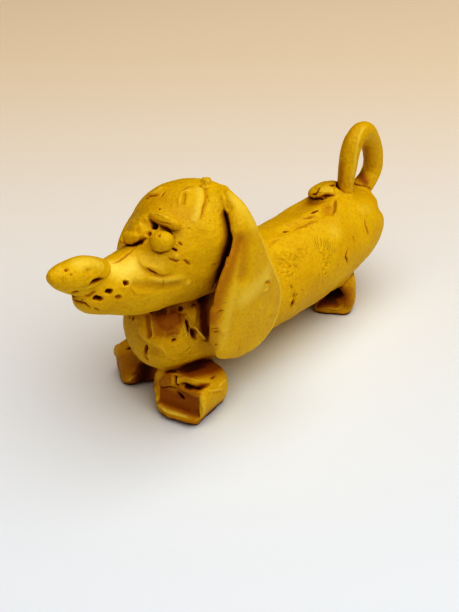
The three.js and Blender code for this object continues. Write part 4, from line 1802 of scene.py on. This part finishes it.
@dataclass(frozen=True)
class Feet:
    """The four pinched feet. Grains are in millimetres."""

    near_grain: float = 0.12
    grain: float = 0.15
    far_grain: float = 0.2

    def lumps(self) -> list[Lump]:
        """Gives the feet."""
        return [
            Lump("front_left_foot", Frame.DOG, self.near_grain, [*self.form(), *self.cuts()]),
            Lump("front_right_foot", Frame.DOG, self.grain, self.front_right()),
            Lump("rear_left_foot", Frame.DOG, self.grain, self.rear_left()),
            Lump("rear_right_foot", Frame.DOG, self.far_grain, [Swells(3.0, 0.2, 67), Swells(1.0, 0.05, 68)]),
        ]

    def form(self) -> Marks:
        """Gives the folds and planes of the front left foot, with painted shade on its front plane, on its
        left side, in its fold, under its toe lip and on its top under the chest, and painted highlights on
        its edges.
        """
        return [
            Swells(3.0, 0.12, 61), Swells(1.1, 0.04, 62), Swells(0.5, 0.012, 69),
            # Painted shade on the undercut front plane.
            Facet("front plane", [(4.7, -29.0, 4.2), (8.2, -28.0, 4.2)], facing=(0.275, -0.95, -0.12),
                  wide=2.4, blend=0.16, most=0.9, soft=0.22, stain_and_shade=0.6),
            # Red-brown painted shade on the toe lip, and a painted highlight along its edge.
            Ridge("toe lip", [(3.4, -30.0, 1.5), (5.3, -29.7, 1.2), (7.1, -29.1, 1.2), (9.0, -28.6, 1.5),
                  (10.3, -27.9, 2.0)], wide=0.75, high=0.5, ends=0.08, stain_and_shade=0.42),
            Dent("end of the toe lip", [(10.4, -28.0, 0.9)], wide=1.1, deep=0.5),
            Ridge("edge of the toe lip", [(3.4, -30.0, 1.9), (5.2, -29.6, 1.8), (7.2, -29.0, 1.8),
                  (9.2, -28.4, 2.1)], wide=0.26, high=0.26, ends=0.1, pale=0.9, wander=0.05),
            # Painted shadow under the toe lip.
            Groove("under the toe lip", [(3.8, -29.9, 0.6), (6.0, -29.3, 0.4), (8.2, -28.7, 0.5),
                   (9.8, -27.9, 0.9)], deep=0.3, stain_and_shade=0.7),
            # Painted shade on the left side of the foot.
            Dent("left side of the foot", [(1.4, -28.6, 5.6), (1.6, -28.9, 3.6)], deep=0.0, stain_and_shade=0.42),
            Ridge("left rim", [(1.5, -29.1, 5.2), (1.8, -29.3, 4.2), (2.4, -29.6, 2.8), (3.4, -30.0, 1.8)],
                  wide=0.45, high=0.45, ends=0.15, pale=0.5),
            Ridge("inner corner", [(10.4, -27.4, 6.9), (10.6, -27.3, 5.4), (10.7, -27.2, 3.8),
                  (10.4, -27.4, 2.4)], wide=0.35, high=0.22, pale=0.45),
            Ridge("right edge", [(10.2, -27.1, 7.2), (10.7, -27.1, 6.2), (10.8, -27.0, 4.6),
                  (10.6, -26.9, 3.0)], wide=0.45, high=0.2, pale=0.25),
            # Painted shade in and below the fold.
            Groove("fold", [(5.9, -28.5, 7.1), (7.2, -28.2, 7.5), (8.6, -27.8, 7.8), (9.6, -27.1, 7.9),
                   (10.2, -25.9, 7.9), (10.3, -24.8, 7.6)], wide=0.95, deep=1.2, stain_and_shade=1.0),
            Dent("below the fold", [(5.9, -28.3, 6.6), (8.0, -28.0, 6.9), (9.8, -27.5, 6.9)], wide=1.1,
                 deep=0.0, level=1.3, stain_and_shade=0.42),
            Dent("in the fold", [(7.4, -28.1, 7.5), (9.0, -27.6, 7.7)], wide=0.95, deep=0.5, level=1.6,
                 stain_and_shade=1.0),
            Ridge("fold top", [(5.9, -28.2, 8.1), (6.9, -27.5, 8.5), (8.2, -27.0, 8.7), (9.3, -26.0, 8.4)],
                  wide=0.4, high=0.4, pale=0.2),
            # Painted shade on the top of the foot under the chest.
            Dent("top of the foot", [(6.7, -25.6, 8.8), (8.0, -23.0, 8.6), (7.6, -20.8, 8.3)], wide=3.0,
                 deep=0.1, level=1.2, stain_and_shade=0.6),
        ]

    def cuts(self) -> list[Mark]:
        """Gives the cuts and strings of the front left foot."""
        return [
            # Painted shade on the lobe.
            Dent("lobe on the foot", [(3.3, -28.9, 6.4), (3.9, -28.6, 7.2), (4.6, -28.3, 7.8)], wide=1.4,
                 deep=-0.6, level=1.3, stain_and_shade=0.48),
            Groove("under the lobe", [(2.4, -29.1, 5.3), (3.6, -28.8, 5.7), (4.8, -28.4, 5.9),
                   (5.8, -28.2, 6.3)], wide=0.3, deep=0.5, stain_and_shade=0.85),
            Groove("right of the lobe", [(5.1, -27.8, 8.5), (5.6, -28.2, 8.1), (5.8, -28.5, 7.4),
                   (6.0, -28.4, 6.6)], wide=0.34, deep=0.6, ends=0.15, stain_and_shade=1.0),
            Ridge("string by the lobe", [(5.7, -27.8, 8.5), (6.1, -28.2, 7.9), (6.4, -28.4, 7.2)], wide=0.26,
                  pale=0.6, wander=0.05),
            Groove("nail cut on the foot", [(5.6, -28.2, 5.4), (6.4, -28.1, 5.1), (7.2, -28.0, 4.6)],
                   wide=0.42, deep=0.6, lip=0.06, stain_and_shade=1.0),
            Groove("crease on top", [(9.8, -24.3, 8.0), (9.6, -22.9, 8.0)], wide=0.32, deep=0.35, stain_and_shade=0.7),
            Ridge("rising string", [(10.7, -23.6, 6.2), (10.5, -22.3, 6.5), (10.1, -20.9, 6.5)], wide=0.3,
                  high=0.28, pale=0.4),
            Ridge("level string", [(10.7, -26.0, 7.0), (10.8, -24.4, 6.3), (10.6, -22.3, 5.2)], wide=0.32,
                  pale=0.4),
            Dent("side hollow", [(10.9, -23.8, 5.4)], wide=1.1, deep=0.25, stain_and_shade=0.15),
        ]

    def front_right(self) -> Marks:
        """Gives the marks of the front right foot, with painted shade on its front and its inner side."""
        return [
            Swells(3.0, 0.15, 63), Swells(1.1, 0.05, 64),
            # Painted shade in the front hollow, on the inner side and over the front.
            Dent("front hollow", [(-6.0, -28.5, 4.6), (-4.8, -27.2, 4.2)], wide=2.6, deep=0.5, stain_and_shade=0.45),
            Dent("toe corner", [(-11.6, -26.9, 4.0), (-11.0, -27.0, 6.0)], wide=1.1, deep=-0.4),
            Dent("dark side", [(-4.6, -26.8, 1.2), (-4.3, -26.0, 3.8)], wide=3.3, stain_and_shade=0.9),
            Dent("foot shade", [(-10.4, -27.8, 2.2), (-8.2, -28.4, 3.4), (-6.2, -28.2, 5.6)], wide=3.6,
                 deep=0.0, level=1.3, stain_and_shade=0.42),
            Ridge("toe rim", [(-6.4, -28.7, 1.3), (-5.9, -28.2, 2.2), (-5.0, -27.3, 2.5)], wide=0.4,
                  high=0.4, pale=0.5),
            Groove("above the toe rim", [(-5.8, -28.3, 2.7), (-5.0, -27.4, 2.9)], wide=0.4, deep=0.3,
                   stain_and_shade=0.5),
            Pit("foot nick", [(-6.7, -27.9, 8.0), (-6.3, -27.4, 8.2)], wide=0.35, deep=0.35, stain_and_shade=0.7),
        ]

    def rear_left(self) -> Marks:
        """Gives the marks of the rear left foot, with painted shade in its arch and beside it."""
        return [
            Swells(3.0, 0.15, 65), Swells(1.1, 0.05, 66),
            # Painted shade in the arch under the body and beside it.
            Dent("arch", [(3.4, 13.2, 3.6), (5.0, 14.2, 4.2), (6.4, 15.0, 4.2)], wide=2.6, deep=1.2,
                 stain_and_shade=0.95),
            Dent("arch top", [(5.4, 14.4, 6.0), (6.4, 14.8, 6.4)], deep=0.5, stain_and_shade=0.9),
            Dent("deep of the arch", [(3.8, 13.5, 3.9), (5.6, 14.5, 4.6)], wide=1.9, deep=0.8, level=1.5,
                 stain_and_shade=1.0),
            Dent("foot of the arch", [(3.4, 13.0, 2.2), (4.8, 13.9, 2.6), (6.0, 14.8, 2.6)], wide=1.6,
                 deep=0.0, stain_and_shade=0.8),
            Dent("shade beside the arch", [(7.4, 16.2, 5.6), (7.9, 16.5, 2.8)], wide=2.8, deep=0.0,
                 stain_and_shade=0.48),
            Ridge("rear toe rim", [(3.2, 13.0, 1.3), (4.5, 13.8, 1.6), (6.0, 15.1, 1.5), (7.4, 16.0, 2.3)],
                  wide=0.5, high=0.35, pale=0.1),
            Groove("ankle crease", [(5.6, 16.0, 7.6), (6.8, 16.2, 7.2), (8.2, 16.4, 7.3)], wide=0.35,
                   deep=0.3, stain_and_shade=0.5),
        ]


@dataclass(frozen=True)
class Tail:
    """The thin curled tail and the flake of clay in front of it. Grains are in millimetres."""

    grain: float = 0.15
    flake_grain: float = 0.12

    def lumps(self) -> list[Lump]:
        """Gives the tail and the flake."""
        return [
            Lump("tail", Frame.DOG, self.grain, self.tail()),
            Lump("back_scrap", Frame.DOG, self.flake_grain, self.flake()),
        ]

    def tail(self) -> Marks:
        """Gives the tail's unevenness, its edge with a painted highlight, and painted shade at its root, its
        tip and inside the loop.
        """
        return [
            Swells(3.5, 0.12, 71), Swells(1.2, 0.03, 72),
            # Painted highlight along the edge.
            Ridge("tail edge", [(2.6, 21.7, 25.1), (2.8, 22.3, 28.9), (2.4, 23.3, 32.5), (1.9, 25.2, 34.6),
                  (1.7, 27.0, 35.0)], high=0.15, ends=0.15, pale=0.5),
            Dent("shade at the root", [(-0.9, 30.1, 23.3), (0.4, 29.1, 23.1), (1.3, 29.0, 22.8)], wide=1.9,
                 deep=0.08, stain_and_shade=0.6),
            Dent("shade at the tip", [(1.0, 20.6, 25.4), (0.9, 20.7, 28.6)], wide=1.4, deep=0.0, stain_and_shade=0.35),
            Dent("shade inside the loop", [(-0.7, 30.6, 26.0), (0.3, 29.6, 29.6)], wide=1.3, deep=0.05,
                 stain_and_shade=0.35),
        ]

    def flake(self) -> Marks:
        """Gives the torn edges of the flake."""
        return [
            Swells(1.8, 0.15, 73), Swells(0.7, 0.05, 74),
            Dent("plate", [(-0.9, 17.8, 24.0), (0.1, 18.4, 24.1)], wide=1.3, deep=-0.4, level=2.2,
                 pale=0.25),
            Pit("flake hole", [(-0.6, 19.9, 24.5), (0.1, 20.8, 24.5)], wide=0.5, deep=0.7, lip=0.0,
                stain_and_shade=1.0),
            Groove("flake crack", [(-2.6, 16.5, 23.0), (-1.6, 16.7, 23.6), (-1.7, 18.0, 24.2)], wide=0.45,
                   deep=0.6, lip=0.06, stain_and_shade=0.95),
            Groove("round the plate", [(-1.7, 18.0, 24.2), (-0.9, 19.2, 24.4), (0.3, 19.6, 24.2),
                   (1.2, 18.9, 23.4)], wide=0.25, deep=0.2, stain_and_shade=0.35),
            Groove("under the plate", [(-0.5, 16.8, 23.3), (0.2, 17.2, 23.4), (0.8, 17.9, 23.3),
                   (1.2, 18.6, 23.3)], wide=0.42, deep=0.55, lip=0.05, stain_and_shade=0.95),
        ]


@dataclass
class Dog:
    """The whole dog: its lumps, how they are pressed together, and their finish."""

    finish: Plasticine = field(default_factory=Plasticine)

    def lumps(self) -> list[Lump]:
        """Lists all lumps of clay."""
        groups = (Body(), Head(), Face(), Ears(), Feet(), Tail())
        return [lump for group in groups for lump in group.lumps()]

    def seams(self) -> list[Seam]:
        """Lists which lumps are pressed together, and how far the clay is smeared over each joint.

        Returns:
            The seams, in the order in which they are closed.
        """
        feet = ("front_left_foot", "front_right_foot", "rear_left_foot", "rear_right_foot")
        face = ("left_eye", "right_eye", "left_brow", "right_brow")
        return [
            Seam("head", "body", 0.4),
            Seam("nose", "head", 1.8, even=0.6),
            Seam("left_ear", "head", 2.5, free_below=6.2),
            Seam("right_ear", "head", 2.5, free_below=6.2),
            Seam("tail", "body", 1.5),
            Seam("back_scrap", "body", 0.6, even=0.3),
            *[Seam(foot, "body", 1.0) for foot in feet],
            *[Seam(piece, "head", 0.3, even=0.2) for piece in face],
        ]

    def build(self) -> None:
        """Rolls the lumps, presses them together, marks them and dresses them."""
        lumps = {lump.node: lump for lump in self.lumps()}
        for lump in lumps.values():
            lump.roll()
        for seam in self.seams():
            seam.close(lumps)
        material = self.finish.material()
        # The crowding of the lumps and the table, which sets the painted shade in the hollows.
        hollows = HollowShade()
        hollows.fill()
        for lump in lumps.values():
            lump.carve(hollows)
            lump.finish(material)


def main() -> None:
    """Sets the view's contrast, and builds the studio and the dog."""
    logging.basicConfig(level=logging.INFO, format="%(message)s")
    bpy.context.scene.view_settings.view_transform = "Standard"
    bpy.context.scene.view_settings.look = "Very High Contrast"
    Studio().build()
    Dog().build()


if __name__ == "__main__":
    main()
